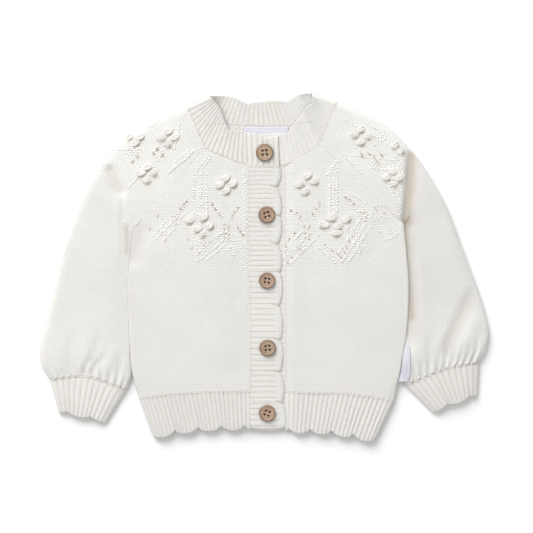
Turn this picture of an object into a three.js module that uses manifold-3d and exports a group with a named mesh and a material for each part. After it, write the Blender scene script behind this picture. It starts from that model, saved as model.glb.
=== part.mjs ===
// Baby's cardigan in off-white cotton knit, buttoned up and laid on its back on a table.
// Raglan sleeves gathered into ribbed cuffs, ribbed hem, neckband and button bands, all with
// scalloped edges, and a yoke of raised knitted flowers.
// Millimetres. X runs towards the wearer's left, Y from hem to neck, Z up from the table.
import * as THREE from 'three';
import Module from 'manifold-3d';

const wasm = await Module();
wasm.setup();

// Driving dimensions

const cloth = { wall: 2, sleeveWall: 2.2, underWall: 1.65, label: 1, ribRise: 0.6 };
const seamGap = 0.4;
const layerGap = 0.3;
const frontAir = 3.4; // how far the fronts stand clear of the back
const frontFloor = cloth.wall + layerGap;
const underFloor = 3.75; // underside of the button band that is covered
const topFloor = frontFloor + frontAir;
const rib = { hem: 5.2, cuff: 5.4, neck: 5.3, band: 5.55 };
const lobe = {
  hemRibs: 5,
  hemDepth: 5.5,
  cuffRibs: 6,
  cuffDepth: 4,
  neckWidth: 39.2,
  neckFirst: 32.2,
  neckDepth: 6,
  bandDepth: 3.5,
};
const neckWidth = 28;
const button = { diameter: 17, thick: 2.7, rim: 0.7, holeDiameter: 2.1, holeSpacing: 3.9 };
const neckTape = { x: 0, top: 141, width: 45, length: 20 };
const sideTape = { first: 1, last: 5, lift: 0.45 }; // the sections and columns of the sleeve it lies on

// The cut of each side, as it lies. Right and left are the wearer's.
const sides = {
  right: {
    bodyEdge: [
      { at: 'hem corner', x: -113, y: -168 },
      { at: 'hem seam', x: -127, y: -130 },
      { at: 'above hem', x: -133.5, y: -107 },
      { at: 'waist', x: -137.5, y: -60 },
      { at: 'chest', x: -138.5, y: -10 },
      { at: 'underarm', x: -135, y: 38 },
    ],
    sleeveOuter: [
      { at: 'cuff seam', x: -216, y: -111 },
      { at: 'gathers', x: -224.5, y: -98 },
      { at: 'fullest', x: -226.5, y: -82 },
      { at: 'forearm', x: -218.5, y: -45 },
      { at: 'below elbow', x: -212, y: -17 },
      { at: 'elbow', x: -204, y: 18 },
      { at: 'above elbow', x: -192, y: 52 },
      { at: 'upper arm', x: -178, y: 83 },
      { at: 'shoulder', x: -157, y: 117 },
      { at: 'shoulder top', x: -126, y: 141.5 },
      { at: 'neck seam', x: -79, y: 163 },
    ],
    sleeveInner: [
      { at: 'cuff seam', x: -139.5, y: -121 },
      { at: 'gathers', x: -136, y: -108 },
      { at: 'above cuff', x: -138.5, y: -85 },
      { at: 'forearm', x: -140.2, y: -45 },
      { at: 'elbow', x: -140.2, y: -10 },
      { at: 'underarm', x: -136.4, y: 38 },
    ],
    cuffBend: { x: -180, y: -108 },
    cuffEnd: { innerX: -160.5, innerY: -155, outerX: -207.5, outerY: -145 },
    raglanFront: { x: -61, y: 121 },
    raglanBack: { x: -55, y: 146 },
    hemCentre: { x: -15.5, y: -160, seamY: -123 },
    neckFront: [
      { x: -53, y: 116.5 },
      { x: -42, y: 112.5 },
      { x: -30, y: 107.5 },
      { x: -18.5, y: 104 },
    ],
    neckBack: { x: -27, y: 144.2 },
    neckEdge: [
      { at: 'shoulder', x: -56, y: 173 },
      { at: 'side', x: -46.5, y: 154 },
      { at: 'turn', x: -39.5, y: 142.5 },
      { at: 'front', x: -19.5, y: 134 },
    ],
    hemFirstNotch: 1.3,
    bodyWidth: 112,
  },
  left: {
    bodyEdge: [
      { at: 'hem corner', x: 110, y: -172 },
      { at: 'hem seam', x: 128.5, y: -132 },
      { at: 'above hem', x: 133.5, y: -109 },
      { at: 'label', x: 136.8, y: -90 },
      { at: 'waist', x: 141.3, y: -62 },
      { at: 'chest', x: 143, y: -14 },
      { at: 'underarm', x: 138, y: 44 },
    ],
    sleeveOuter: [
      { at: 'cuff seam', x: 213.5, y: -93.5 },
      { at: 'gathers', x: 219.5, y: -84 },
      { at: 'fullest', x: 223, y: -66 },
      { at: 'forearm', x: 216.5, y: -36 },
      { at: 'below elbow', x: 207, y: -9 },
      { at: 'elbow', x: 195.5, y: 22 },
      { at: 'above elbow', x: 182, y: 58 },
      { at: 'upper arm', x: 168, y: 85 },
      { at: 'shoulder', x: 146, y: 117 },
      { at: 'shoulder top', x: 117, y: 145 },
      { at: 'neck seam', x: 70, y: 166.5 },
    ],
    sleeveInner: [
      { at: 'cuff seam', x: 139, y: -116.5 },
      { at: 'gathers', x: 136.6, y: -105 },
      { at: 'above cuff', x: 138.8, y: -88 },
      { at: 'forearm', x: 143, y: -60 },
      { at: 'elbow', x: 144.8, y: -14 },
      { at: 'underarm', x: 139.4, y: 44 },
    ],
    cuffBend: { x: 178, y: -101.5 },
    cuffEnd: { innerX: 167, innerY: -145, outerX: 211.5, outerY: -128.5 },
    raglanFront: { x: 53, y: 124 },
    raglanBack: { x: 48, y: 147 },
    hemCentre: { x: 19, y: -162.5, seamY: -123.5 },
    neckFront: [
      { x: 46, y: 119.5 },
      { x: 37, y: 113.5 },
      { x: 28, y: 108 },
      { x: 18.5, y: 103.5 },
    ],
    neckBack: { x: 24, y: 144.2 },
    neckEdge: [
      { at: 'shoulder', x: 48, y: 175 },
      { at: 'side', x: 40.5, y: 158 },
      { at: 'turn', x: 32, y: 144.5 },
      { at: 'front', x: 12, y: 133 },
    ],
    hemFirstNotch: 0.8,
    bodyWidth: 109,
  },
};
const backNeck = { x: -2, y: 143.4 };

// Notches along the scalloped edge of the band on top, from the neck down to the hem.
const bandEnds = { top: 100.5, bottom: -160 };
const bandNotches = [
  { x: 12.5, y: 104 },
  { x: 10.2, y: 81 },
  { x: 13.5, y: 52 },
  { x: 11, y: 24 },
  { x: 13.4, y: -4 },
  { x: 12.6, y: -38 },
  { x: 13.6, y: -72 },
  { x: 13.4, y: -104 },
  { x: 15.6, y: -135 },
  { x: 17.6, y: -163 },
];
const buttonTable = [
  { x: -1.4, y: 115.4 },
  { x: 0.5, y: 53.3 },
  { x: 1, y: -12.5 },
  { x: 1.6, y: -79.8 },
  { x: 1.2, y: -145 },
];

// Height of a sleeve along its length, from the cuff seam (0) to the raglan seam (1).
const sleeveHeights = [
  { along: 0, height: 7.6 },
  { along: 0.1, height: 8.3 },
  { along: 0.7, height: 8.3 },
  { along: 1, height: topFloor + cloth.wall },
];

// Troughs where a sleeve turns down at the underarm, and soft hollows in the fronts.
const sleeveTroughs = {
  right: [{ x1: -158, y1: 96, x2: -141, y2: 62, width: 7, depth: 2.9 }],
  left: [{ x1: 146, y1: 106, x2: 143, y2: 60, width: 7, depth: 2.9 }],
};
const frontHollows = {
  right: [
    { x1: -98, y1: -10, x2: -60, y2: -45, width: 20, depth: 0.8 },
    { x1: -128, y1: 25, x2: -122, y2: 5, width: 7, depth: 1.4 },
  ],
  left: [
    { x1: 45, y1: -60, x2: 110, y2: -90, width: 18, depth: 0.8 },
    { x1: 125, y1: 60, x2: 110, y2: 20, width: 12, depth: 0.7 },
  ],
};

// Raised knitting of the yoke: flowers of four or five bobbles, and stitched ridges.
const flower = { petalLength: 7.6, petalWidth: 5.6, petalRise: 1.9, ring: 5.4 };
const flowers = {
  frontRight: [
    { x: -40, y: 82, petals: 4, turn: 40 },
    { x: -64, y: 42.5, petals: 5, turn: 20 },
  ],
  frontLeft: [
    { x: 42, y: 82.5, petals: 4, turn: 50 },
    { x: 71.5, y: 42.5, petals: 5, turn: -10 },
  ],
  sleeveRight: [
    { x: -98, y: 130, petals: 4, turn: 30 },
    { x: -131, y: 125, petals: 4, turn: 0 },
    { x: -118.5, y: 93, petals: 5, turn: 10 },
  ],
  sleeveLeft: [
    { x: 95, y: 132, petals: 4, turn: 20 },
    { x: 129, y: 123, petals: 4, turn: 0 },
    { x: 126, y: 89, petals: 5, turn: 30 },
  ],
};
const ridge = { width: 3, rise: 0.9 };
const ridges = {
  frontRight: [
    { x: -64, y: 73, length: 36, turn: 90 },
    { x: -53, y: 21, length: 30, turn: 48 },
    { x: -76, y: 22, length: 28, turn: 128 },
    { x: -26, y: 24, length: 20, turn: 118 },
    { x: -104, y: 36, length: 26, turn: 62 },
  ],
  frontLeft: [
    { x: 67, y: 75, length: 38, turn: 92 },
    { x: 30, y: 18, length: 38, turn: 57 },
    { x: 64, y: 20, length: 30, turn: 136 },
    { x: 88, y: 32, length: 40, turn: 64 },
    { x: 116, y: 46, length: 26, turn: 118 },
  ],
  sleeveRight: [{ x: -138, y: 104, length: 30, turn: 76 }],
  sleeveLeft: [{ x: 108, y: 108, length: 28, turn: 120 }],
};

const ivory = new THREE.Color(0.93, 0.92, 0.885);
const colours = {
  knit: ivory,
  ribbing: new THREE.Color(0.94, 0.93, 0.89),
  tape: new THREE.Color(0.95, 0.95, 0.98),
  shell: new THREE.Color(0.66, 0.52, 0.41),
};

// Curves and patches in the plan

const mix = (a, b, t) => a + (b - a) * t;
const mixPoint = (p, q, t) => ({ x: mix(p.x, q.x, t), y: mix(p.y, q.y, t) });
const ease = (t) => {
  const c = Math.min(Math.max(t, 0), 1);
  return c * c * (3 - 2 * c);
};

/** A smooth line through the rows of a table, by its own length from 0 to 1. */
function smoothLine(rows) {
  const points = rows.map((r) => new THREE.Vector3(r.x, r.y, 0));
  const curve = new THREE.CatmullRomCurve3(points, false, 'centripetal');
  return (t) => {
    const p = curve.getPointAt(Math.min(Math.max(t, 0), 1));
    return { x: p.x, y: p.y };
  };
}

/** Straight stretches between the rows, each taking an equal share of 0 to 1. */
function straightLine(rows) {
  const last = rows.length - 1;
  return (t) => {
    const place = Math.min(Math.max(t, 0), 1) * last;
    const i = Math.min(Math.floor(place), last - 1);
    return mixPoint(rows[i], rows[i + 1], place - i);
  };
}

/** One edge made of two, the first taking the given share of 0 to 1. */
const bentLine = (first, second, share) => (t) =>
  t < share ? first(t / share) : second((t - share) / (1 - share));

/** A patch stretched between four edges, held back from them by half a seam gap. */
function patch({ bottom, top, left, right, width, height }) {
  const [b0, b1, t0, t1] = [bottom(0), bottom(1), top(0), top(1)];
  const marginU = seamGap / 2 / width;
  const marginV = seamGap / 2 / height;
  const blend = (u, v, axis) =>
    mix(bottom(u)[axis], top(u)[axis], v) +
    mix(left(v)[axis], right(v)[axis], u) -
    mix(mix(b0[axis], b1[axis], u), mix(t0[axis], t1[axis], u), v);
  return (u, v) => {
    const uu = mix(marginU, 1 - marginU, u);
    const vv = mix(marginV, 1 - marginV, v);
    return { x: blend(uu, vv, 'x'), y: blend(uu, vv, 'y') };
  };
}

/** Rise of a rounded edge, from 0 at the edge to 1 at the given distance in from it. */
function roundedRise(distance, radius) {
  const inward = Math.min(Math.max(distance / radius, 0), 1);
  return Math.sqrt(1 - (1 - inward) ** 2);
}

/** How much the soft troughs of a table take off the height at a place. */
function hollow(rows, x, y) {
  let total = 0;
  for (const r of rows) {
    const dx = r.x2 - r.x1;
    const dy = r.y2 - r.y1;
    const t = Math.min(Math.max(((x - r.x1) * dx + (y - r.y1) * dy) / (dx * dx + dy * dy), 0), 1);
    const away = Math.hypot(x - r.x1 - dx * t, y - r.y1 - dy * t) / r.width;
    total += r.depth * Math.exp(-away * away);
  }
  return total;
}

/** Depth of a scalloped edge: round lobes with sharp notches, one lobe to each whole step. */
const scallop = (steps, depth) => depth * Math.abs(Math.sin(Math.PI * steps)) ** 0.6;

const steps = (count) => Array.from({ length: count + 1 }, (_, i) => i / count);

// Solids

/** A geometry from points and triangles of their indices. */
function fromPoints(points, triangles) {
  const coordinates = points.flatMap((p) => [p.x, p.y, p.z]);
  const geometry = new THREE.BufferGeometry();
  geometry.setAttribute('position', new THREE.Float32BufferAttribute(coordinates, 3));
  geometry.setIndex(triangles.flat());
  return geometry;
}

/**
 * A closed wall between an outer and an inner grid of points.
 * Below the row `slitFrom` the last column is joined to the first, which makes a tube.
 */
function wallGeometry(outer, inner, slitFrom = 0) {
  const rows = outer.length;
  const spans = outer[0].length - 1;
  const points = [];
  const indexGrid = (lines) => lines.map((line, i) => {
    const isTube = slitFrom > 0 && i <= slitFrom;
    const ids = line.slice(0, isTube ? spans : spans + 1).map((p) => points.push(p) - 1);
    return isTube ? [...ids, ids[0]] : ids;
  });
  const out = indexGrid(outer);
  const inn = indexGrid(inner);
  const triangles = [];
  const quad = (a, b, c, d) => triangles.push([a, b, c], [a, c, d]);
  for (let i = 0; i < rows - 1; i++) {
    for (let j = 0; j < spans; j++) {
      quad(out[i][j], out[i][j + 1], out[i + 1][j + 1], out[i + 1][j]);
      quad(inn[i][j], inn[i + 1][j], inn[i + 1][j + 1], inn[i][j + 1]);
    }
  }
  for (let j = 0; j < spans; j++) {
    quad(inn[0][j], inn[0][j + 1], out[0][j + 1], out[0][j]);
    quad(out[rows - 1][j], out[rows - 1][j + 1], inn[rows - 1][j + 1], inn[rows - 1][j]);
  }
  for (let i = slitFrom; i < rows - 1; i++) {
    quad(inn[i][0], out[i][0], out[i + 1][0], inn[i + 1][0]);
    quad(out[i][spans], inn[i][spans], inn[i + 1][spans], out[i + 1][spans]);
  }
  let volume = 0;
  for (const [a, b, c] of triangles) volume += points[a].dot(points[b].clone().cross(points[c]));
  if (volume < 0) triangles.forEach((t) => t.reverse());
  return fromPoints(points, triangles);
}

/** Fills a grid from a function of column and row. */
const grid = (columns, rows, place) => rows.map((v) => columns.map((u) => place(u, v)));

function toSolid(geometry) {
  const mesh = new wasm.Mesh({
    numProp: 3,
    vertProperties: new Float32Array(geometry.attributes.position.array),
    triVerts: new Uint32Array(geometry.index.array),
  });
  return new wasm.Manifold(mesh);
}

function toGeometry(solid) {
  const mesh = solid.getMesh();
  const geometry = new THREE.BufferGeometry();
  geometry.setAttribute('position', new THREE.Float32BufferAttribute(mesh.vertProperties, 3));
  geometry.setIndex(Array.from(mesh.triVerts));
  return geometry;
}

/** A low closed dome, long in its own X, turned in the plan and set on a surface. */
function bump({ x, y, z, length, width, rise, turn, around = 6, up = 4 }) {
  const points = [new THREE.Vector3(0, 0, -1), new THREE.Vector3(0, 0, 1)];
  const triangles = [];
  for (let i = 1; i < up; i++) {
    const level = (Math.PI * i) / up;
    for (let j = 0; j < around; j++) {
      const angle = (2 * Math.PI * j) / around;
      const reach = Math.sin(level);
      points.push(new THREE.Vector3(reach * Math.cos(angle), reach * Math.sin(angle), -Math.cos(level)));
    }
  }
  const ring = (i, j) => 2 + (i - 1) * around + (j % around);
  for (let j = 0; j < around; j++) {
    triangles.push([0, ring(1, j + 1), ring(1, j)], [1, ring(up - 1, j), ring(up - 1, j + 1)]);
    for (let i = 1; i < up - 1; i++) {
      const [a, b, c, d] = [ring(i, j), ring(i, j + 1), ring(i + 1, j + 1), ring(i + 1, j)];
      triangles.push([a, b, c], [a, c, d]);
    }
  }
  const geometry = fromPoints(points, triangles);
  geometry.scale(length / 2, width / 2, rise);
  geometry.rotateZ(THREE.MathUtils.degToRad(turn));
  geometry.translate(x, y, z);
  return geometry;
}

/** Joins the raised flowers and ridges of a panel onto its outer face. */
function withRelief(geometry, flowerRows, ridgeRows, heightAt) {
  const shapes = [];
  const petal = { length: flower.petalLength, width: flower.petalWidth, rise: flower.petalRise };
  for (const f of flowerRows) {
    for (let k = 0; k < f.petals; k++) {
      const turn = f.turn + (360 * k) / f.petals;
      const angle = THREE.MathUtils.degToRad(turn);
      const x = f.x + flower.ring * Math.cos(angle);
      const y = f.y + flower.ring * Math.sin(angle);
      shapes.push(bump({ x, y, z: heightAt(x, y), turn, ...petal }));
    }
  }
  for (const { x, y, length, turn } of ridgeRows) {
    shapes.push(bump({ x, y, z: heightAt(x, y), length, turn, ...ridge }));
  }
  let solid = toSolid(geometry);
  for (const shape of shapes) solid = solid.add(toSolid(shape));
  return toGeometry(solid);
}

/** The height of a grid's outer face over a place in the plan. */
function heightFinder(outer) {
  const triangles = [];
  for (let i = 0; i < outer.length - 1; i++) {
    for (let j = 0; j < outer[i].length - 1; j++) {
      const [a, b, c, d] = [outer[i][j], outer[i][j + 1], outer[i + 1][j + 1], outer[i + 1][j]];
      triangles.push([a, b, c], [a, c, d]);
    }
  }
  return (x, y) => {
    for (const [a, b, c] of triangles) {
      const area = (b.x - a.x) * (c.y - a.y) - (c.x - a.x) * (b.y - a.y);
      const s = ((x - a.x) * (c.y - a.y) - (c.x - a.x) * (y - a.y)) / area;
      const t = ((b.x - a.x) * (y - a.y) - (x - a.x) * (b.y - a.y)) / area;
      if (s >= 0 && t >= 0 && s + t <= 1) return a.z + s * (b.z - a.z) + t * (c.z - a.z);
    }
    throw new Error(`nothing to raise at ${x.toFixed(1)}, ${y.toFixed(1)}`);
  };
}

// Body

const hemStretches = 6; // straight stretches of each half of the hem seam, the same on panel and rib
const halfColumns = 12;

const hemSeam = (side) => {
  const s = sides[side];
  const corner = s.bodyEdge[1];
  const centre = { x: s.hemCentre.x, y: s.hemCentre.seamY };
  return straightLine(steps(hemStretches).map((t) => {
    const p = mixPoint(corner, centre, t);
    return { x: p.x, y: p.y + 2.6 * Math.sin(Math.PI * Math.min(t * 1.15, 1)) };
  }));
};

const backHemSeam = straightLine(steps(halfColumns).map((t) => {
  const p = mixPoint(sides.right.bodyEdge[1], sides.left.bodyEdge[1], t);
  return { x: p.x, y: p.y + 7 * Math.sin(Math.PI * t) };
}));

const bodyEdgeLine = (side) => smoothLine(sides[side].bodyEdge.slice(1));

/** Height of a front's underside: low at the side, and low again where it runs under the other front. */
function frontUnderside(side, u, v, x, y) {
  const fromSide = u * 110;
  const fromCentre = (1 - u) * 110;
  let floor = frontFloor + frontAir * roundedRise(fromSide, 16);
  if (side === 'left') floor -= (topFloor - underFloor + 0.35) * (1 - ease(fromCentre / 16));
  return Math.max(floor - hollow(frontHollows[side], x, y), frontFloor);
}

function frontPanel(side) {
  const s = sides[side];
  const share = 8 / halfColumns;
  const neck = straightLine([s.raglanFront, ...s.neckFront]);
  const underarm = s.bodyEdge.at(-1);
  const centreEdge = straightLine([{ x: s.hemCentre.x, y: s.hemCentre.seamY }, s.neckFront.at(-1)]);
  const place = patch({
    bottom: hemSeam(side),
    top: bentLine(straightLine([underarm, s.raglanFront]), neck, share),
    left: bodyEdgeLine(side),
    right: centreEdge,
    width: s.bodyWidth,
    height: 170,
  });
  const columns = [0, 0.02, 0.05, ...steps(halfColumns).slice(1)];
  const rows = [0, 0.1, 0.22, 0.34, 0.46, 0.56, 0.65, 0.73, 0.8, 0.87, 0.94, 1];
  const at = (extra) => (u, v) => {
    const p = place(u, v);
    return new THREE.Vector3(p.x, p.y, frontUnderside(side, u, v, p.x, p.y) + extra);
  };
  const outer = grid(columns, rows, at(cloth.wall));
  const inner = grid(columns, rows, at(0));
  const name = side === 'right' ? 'frontRight' : 'frontLeft';
  return withRelief(wallGeometry(outer, inner), flowers[name], ridges[name], heightFinder(outer));
}

function backPanel() {
  const { right, left } = sides;
  const raglan = 4 / halfColumns;
  const neckPoints = [right.raglanBack, right.neckBack, backNeck, left.neckBack, left.raglanBack];
  const neckAndLeft = bentLine(
    straightLine(neckPoints),
    straightLine([left.raglanBack, left.bodyEdge.at(-1)]),
    0.5,
  );
  const place = patch({
    bottom: backHemSeam,
    top: bentLine(straightLine([right.bodyEdge.at(-1), right.raglanBack]), neckAndLeft, raglan),
    left: bodyEdgeLine('right'),
    right: bodyEdgeLine('left'),
    width: 270,
    height: 200,
  });
  const at = (z) => (u, v) => {
    const p = place(u, v);
    return new THREE.Vector3(p.x, p.y, z);
  };
  const columns = steps(halfColumns);
  return wallGeometry(grid(columns, steps(9), at(cloth.wall)), grid(columns, steps(9), at(0)));
}

/** A front half of the hem rib, its columns on the crests and hollows of the ribs. */
function frontHem(side) {
  const s = sides[side];
  const seam = hemSeam(side);
  const corner = s.bodyEdge[0];
  const width = s.bodyWidth;
  const ribCount = Math.round(width / rib.hem / 3) * 3;
  const free = (t) => {
    const p = mixPoint(corner, s.hemCentre, t);
    const sag = 3 * Math.sin(Math.PI * t);
    const lobes = ((1 - t) * ribCount - s.hemFirstNotch) / lobe.hemRibs;
    return { x: p.x, y: p.y + sag + lobe.hemDepth / 2 - scallop(lobes, lobe.hemDepth) };
  };
  const place = patch({
    bottom: free,
    top: seam,
    left: smoothLine(s.bodyEdge.slice(0, 2)),
    right: straightLine([free(1), seam(1)]),
    width,
    height: 38,
  });
  const columns = steps(ribCount * 2);
  const rows = [0, 0.5, 1];
  const at = (isOuter) => (u, v) => {
    const p = place(u, v);
    const underside = frontUnderside(side, u, 0, p.x, p.y) - 0.9 * (1 - v) * roundedRise(u * 110, 16);
    const raised = Math.round(u * ribCount * 2) % 2 === 1 ? cloth.ribRise : 0;
    const z = Math.max(underside, frontFloor);
    return new THREE.Vector3(p.x, p.y, isOuter ? z + cloth.wall + raised : z);
  };
  return wallGeometry(grid(columns, rows, at(true)), grid(columns, rows, at(false)));
}

function backHem() {
  const { right, left } = sides;
  const lobes = 9;
  const free = (t) => {
    const p = mixPoint(right.bodyEdge[0], left.bodyEdge[0], t);
    return { x: p.x, y: p.y + 10 * Math.sin(Math.PI * t) + 1 - scallop(lobes * t + 0.4, lobe.hemDepth) };
  };
  const place = patch({
    bottom: free,
    top: backHemSeam,
    left: smoothLine(right.bodyEdge.slice(0, 2)),
    right: smoothLine(left.bodyEdge.slice(0, 2)),
    width: 270,
    height: 38,
  });
  const columns = steps(4 * halfColumns);
  const at = (z) => (u, v) => {
    const p = place(u, v);
    return new THREE.Vector3(p.x, p.y, z);
  };
  return wallGeometry(grid(columns, steps(2), at(cloth.wall)), grid(columns, steps(2), at(0)));
}

// Sleeves and cuffs

const ringFront = 24;
const ringBack = 8;
const edgeRadius = { top: 15, under: 3 };
const sleeveCentre = 3.2; // height of the fold along each edge
const raglanStart = 0.58; // the underarm, by length along a sleeve
const sleeveRows = [
  0, 0.02, 0.06, 0.1, 0.14, 0.2, 0.29, 0.39, 0.49, raglanStart, 0.62, 0.67, 0.74, 0.82, 0.9, 1,
];
const underarmRow = sleeveRows.indexOf(raglanStart);
const seamHeight = topFloor + cloth.wall;

/** Columns across one layer of a flattened tube, closer together at its folds. */
const foldedColumns = (count) => steps(count).map((t) => (t + (1 - Math.cos(Math.PI * t)) / 2) / 2);

function sleeveHeight(v) {
  const i = Math.min(sleeveHeights.findLastIndex((r) => r.along <= v), sleeveHeights.length - 2);
  const [low, high] = [sleeveHeights[i], sleeveHeights[i + 1]];
  return mix(low.height, high.height, ease((v - low.along) / (high.along - low.along)));
}

const cuffSeamLine = (side) => {
  const s = sides[side];
  return smoothLine([s.sleeveInner[0], s.cuffBend, s.sleeveOuter[0]]);
};

/** The two layers of a sleeve in the plan: u from the body side to the outer fold, v from cuff to neck. */
function sleeveLayers(side) {
  const s = sides[side];
  const besideBody = smoothLine(s.sleeveInner);
  const shoulder = s.sleeveOuter.at(-1);
  const layer = (neckCorner) => patch({
    bottom: cuffSeamLine(side),
    top: straightLine([neckCorner, shoulder]),
    left: bentLine(besideBody, straightLine([besideBody(1), neckCorner]), raglanStart),
    right: smoothLine(s.sleeveOuter),
    width: 40,
    height: 280,
  });
  return { front: layer(s.raglanFront), back: layer(s.raglanBack) };
}

/** Small folds that run up from the gathered cuff seam. */
function gathers(u, v) {
  const fading = Math.max(0, 1 - v / 0.12) * roundedRise(Math.min(u, 1 - u), 0.2);
  return 1.1 * fading * Math.sin(2 * Math.PI * 5 * u);
}

/** How far the body side of a sleeve has opened from a fold (0) into two seams (1). */
const opened = (v) => (v <= raglanStart ? 0 : roundedRise((v - raglanStart) * 260, 16));

/** Sections of outer and inner points along a flattened tube that rests on the table. */
function flatTube({ layers, rows, widthAt, heightOf, wall, extra, openAt = () => 0 }) {
  const front = foldedColumns(ringFront);
  const back = foldedColumns(ringBack).slice(0, -1).reverse();
  const section = (v, depth) => {
    const width = widthAt(v);
    const open = openAt(v);
    const insets = [(depth / width) * (1 - open), 1 - depth / width];
    const riseAt = (u, radius) =>
      Math.max(roundedRise(Math.min(u, 1 - u) * width, radius), u < 0.5 ? open : 0);
    const top = front.map((u) => {
      const p = layers.front(mix(...insets, u), v);
      const isFold = u === 1 || (u === 0 && open === 0);
      const beside = open > 0 ? seamHeight : heightOf(v);
      const upper = mix(beside, heightOf(v), ease((u * width) / 14)) - sleeveCentre;
      const more = isFold ? 0 : extra(u, v, p, depth > 0);
      const z = sleeveCentre + (upper - depth) * riseAt(u, edgeRadius.top) + more;
      return new THREE.Vector3(p.x, p.y, z);
    });
    const under = back.map((u) => {
      const p = layers.back(mix(...insets, u), v);
      const z = sleeveCentre - (sleeveCentre - depth) * riseAt(u, edgeRadius.under);
      return new THREE.Vector3(p.x, p.y, z);
    });
    return [...top, ...under];
  };
  return { outer: rows.map((v) => section(v, 0)), inner: rows.map((v) => section(v, wall)) };
}

function sleeveSections(side) {
  return flatTube({
    layers: sleeveLayers(side),
    rows: sleeveRows,
    widthAt: (v) => mix(88, 46, ease(v)),
    heightOf: sleeveHeight,
    wall: cloth.sleeveWall,
    openAt: opened,
    extra: (u, v, p) => gathers(u, v) - hollow(sleeveTroughs[side], p.x, p.y),
  });
}

function sleeve(side) {
  const { outer, inner } = sleeveSections(side);
  const name = side === 'right' ? 'sleeveRight' : 'sleeveLeft';
  const topFace = outer.map((section) => section.slice(0, ringFront + 1));
  const plain = wallGeometry(outer, inner, underarmRow);
  return withRelief(plain, flowers[name], ridges[name], heightFinder(topFace));
}

function cuff(side) {
  const s = sides[side];
  const end = s.cuffEnd;
  const ribCount = ringFront / 2;
  const seam = cuffSeamLine(side);
  const innerEnd = { x: end.innerX, y: end.innerY };
  const outerEnd = { x: end.outerX, y: end.outerY };
  const free = (t) => {
    const p = mixPoint(innerEnd, outerEnd, t);
    return { x: p.x, y: p.y + 1 - scallop((t * ribCount) / lobe.cuffRibs + 0.35, lobe.cuffDepth) };
  };
  const layer = patch({
    bottom: free,
    top: seam,
    left: straightLine([innerEnd, s.sleeveInner[0]]),
    right: straightLine([outerEnd, s.sleeveOuter[0]]),
    width: 60,
    height: 34,
  });
  const columns = foldedColumns(ringFront);
  const { outer, inner } = flatTube({
    layers: { front: layer, back: layer },
    rows: [0, 0.5, 1],
    widthAt: (v) => mix(47, 78, v),
    heightOf: (v) => mix(6.6, 7.2, v),
    wall: cloth.wall,
    extra: (u, v, p, isInner) => (!isInner && columns.indexOf(u) % 2 === 1 ? cloth.ribRise : 0),
  });
  return wallGeometry(outer, inner, 2);
}

// Neckband: one ribbed strip, from the covered end, over both shoulders, to the end that shows

function neckStations() {
  const { right, left } = sides;
  const upper = topFloor + cloth.wall / 2;
  const covered = underFloor + cloth.underWall / 2;
  const lower = cloth.wall / 2;
  const stations = [];
  const add = (seam, edge, z, wall = cloth.wall) => stations.push({ seam, edge, z, wall });
  const edgeLeft = smoothLine([...left.neckEdge].reverse());
  const edgeRight = smoothLine(right.neckEdge);
  // covered end, then up the left front
  add({ x: -12, y: 104 }, { x: -11, y: 131 }, covered, cloth.underWall);
  add({ x: 8, y: 104 }, { x: 4, y: 131.5 }, covered, cloth.underWall);
  const leftSeam = [...left.neckFront].reverse();
  leftSeam.forEach((p, i) => add(p, edgeLeft(0.04 + 0.15 * i), mix(covered, upper, ease(i / 3))));
  add(left.raglanFront, edgeLeft(0.62), upper);
  const leftShoulder = left.sleeveOuter.at(-1);
  add(mixPoint(left.raglanFront, leftShoulder, 0.5), edgeLeft(0.82), upper);
  // over the shoulder and along the back of the neck
  const backEdge = smoothLine([edgeLeft(1), { x: -3, y: 164.8 }, edgeRight(0)]);
  fold(
    add,
    [left.raglanFront, leftShoulder, left.raglanBack],
    [edgeLeft(0.9), edgeLeft(1), backEdge(0.1)],
    upper,
    lower,
  );
  add(left.raglanBack, backEdge(0.14), lower);
  add(left.neckBack, backEdge(0.33), lower);
  add(backNeck, backEdge(0.5), lower);
  add(right.neckBack, backEdge(0.67), lower);
  add(right.raglanBack, backEdge(0.86), lower);
  const rightShoulder = right.sleeveOuter.at(-1);
  fold(
    add,
    [right.raglanBack, rightShoulder, right.raglanFront],
    [backEdge(0.9), edgeRight(0), edgeRight(0.1)],
    lower,
    upper,
  );
  // down the right front to the end that shows
  add(mixPoint(right.raglanFront, rightShoulder, 0.5), edgeRight(0.2), upper);
  add(right.raglanFront, edgeRight(0.42), upper);
  right.neckFront.forEach((p, i) => add(p, edgeRight(0.55 + 0.15 * i), upper));
  add({ x: -2, y: 102 }, { x: -3, y: 134.5 }, upper);
  add({ x: 13.6, y: 101.6 }, { x: 12.6, y: 131 }, upper);
  return stations;
}

/** Turns the strip over at a shoulder, round a half circle between its two layers. */
function fold(add, seam, edge, fromZ, toZ) {
  const radius = Math.abs(fromZ - toZ) / 2;
  const middle = (fromZ + toZ) / 2;
  const towards = ([before, at, after], angle, distance) => {
    const other = angle < Math.PI / 2 ? before : after;
    return mixPoint(at, other, distance / Math.hypot(other.x - at.x, other.y - at.y));
  };
  for (let k = 0; k <= 4; k++) {
    const angle = (Math.PI * k) / 4;
    const distance = radius * (1 - Math.sin(angle)) + cloth.wall / 2;
    const z = middle + Math.cos(angle) * (fromZ - middle);
    add(towards(seam, angle, distance), towards(edge, angle, distance), z);
  }
}

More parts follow.
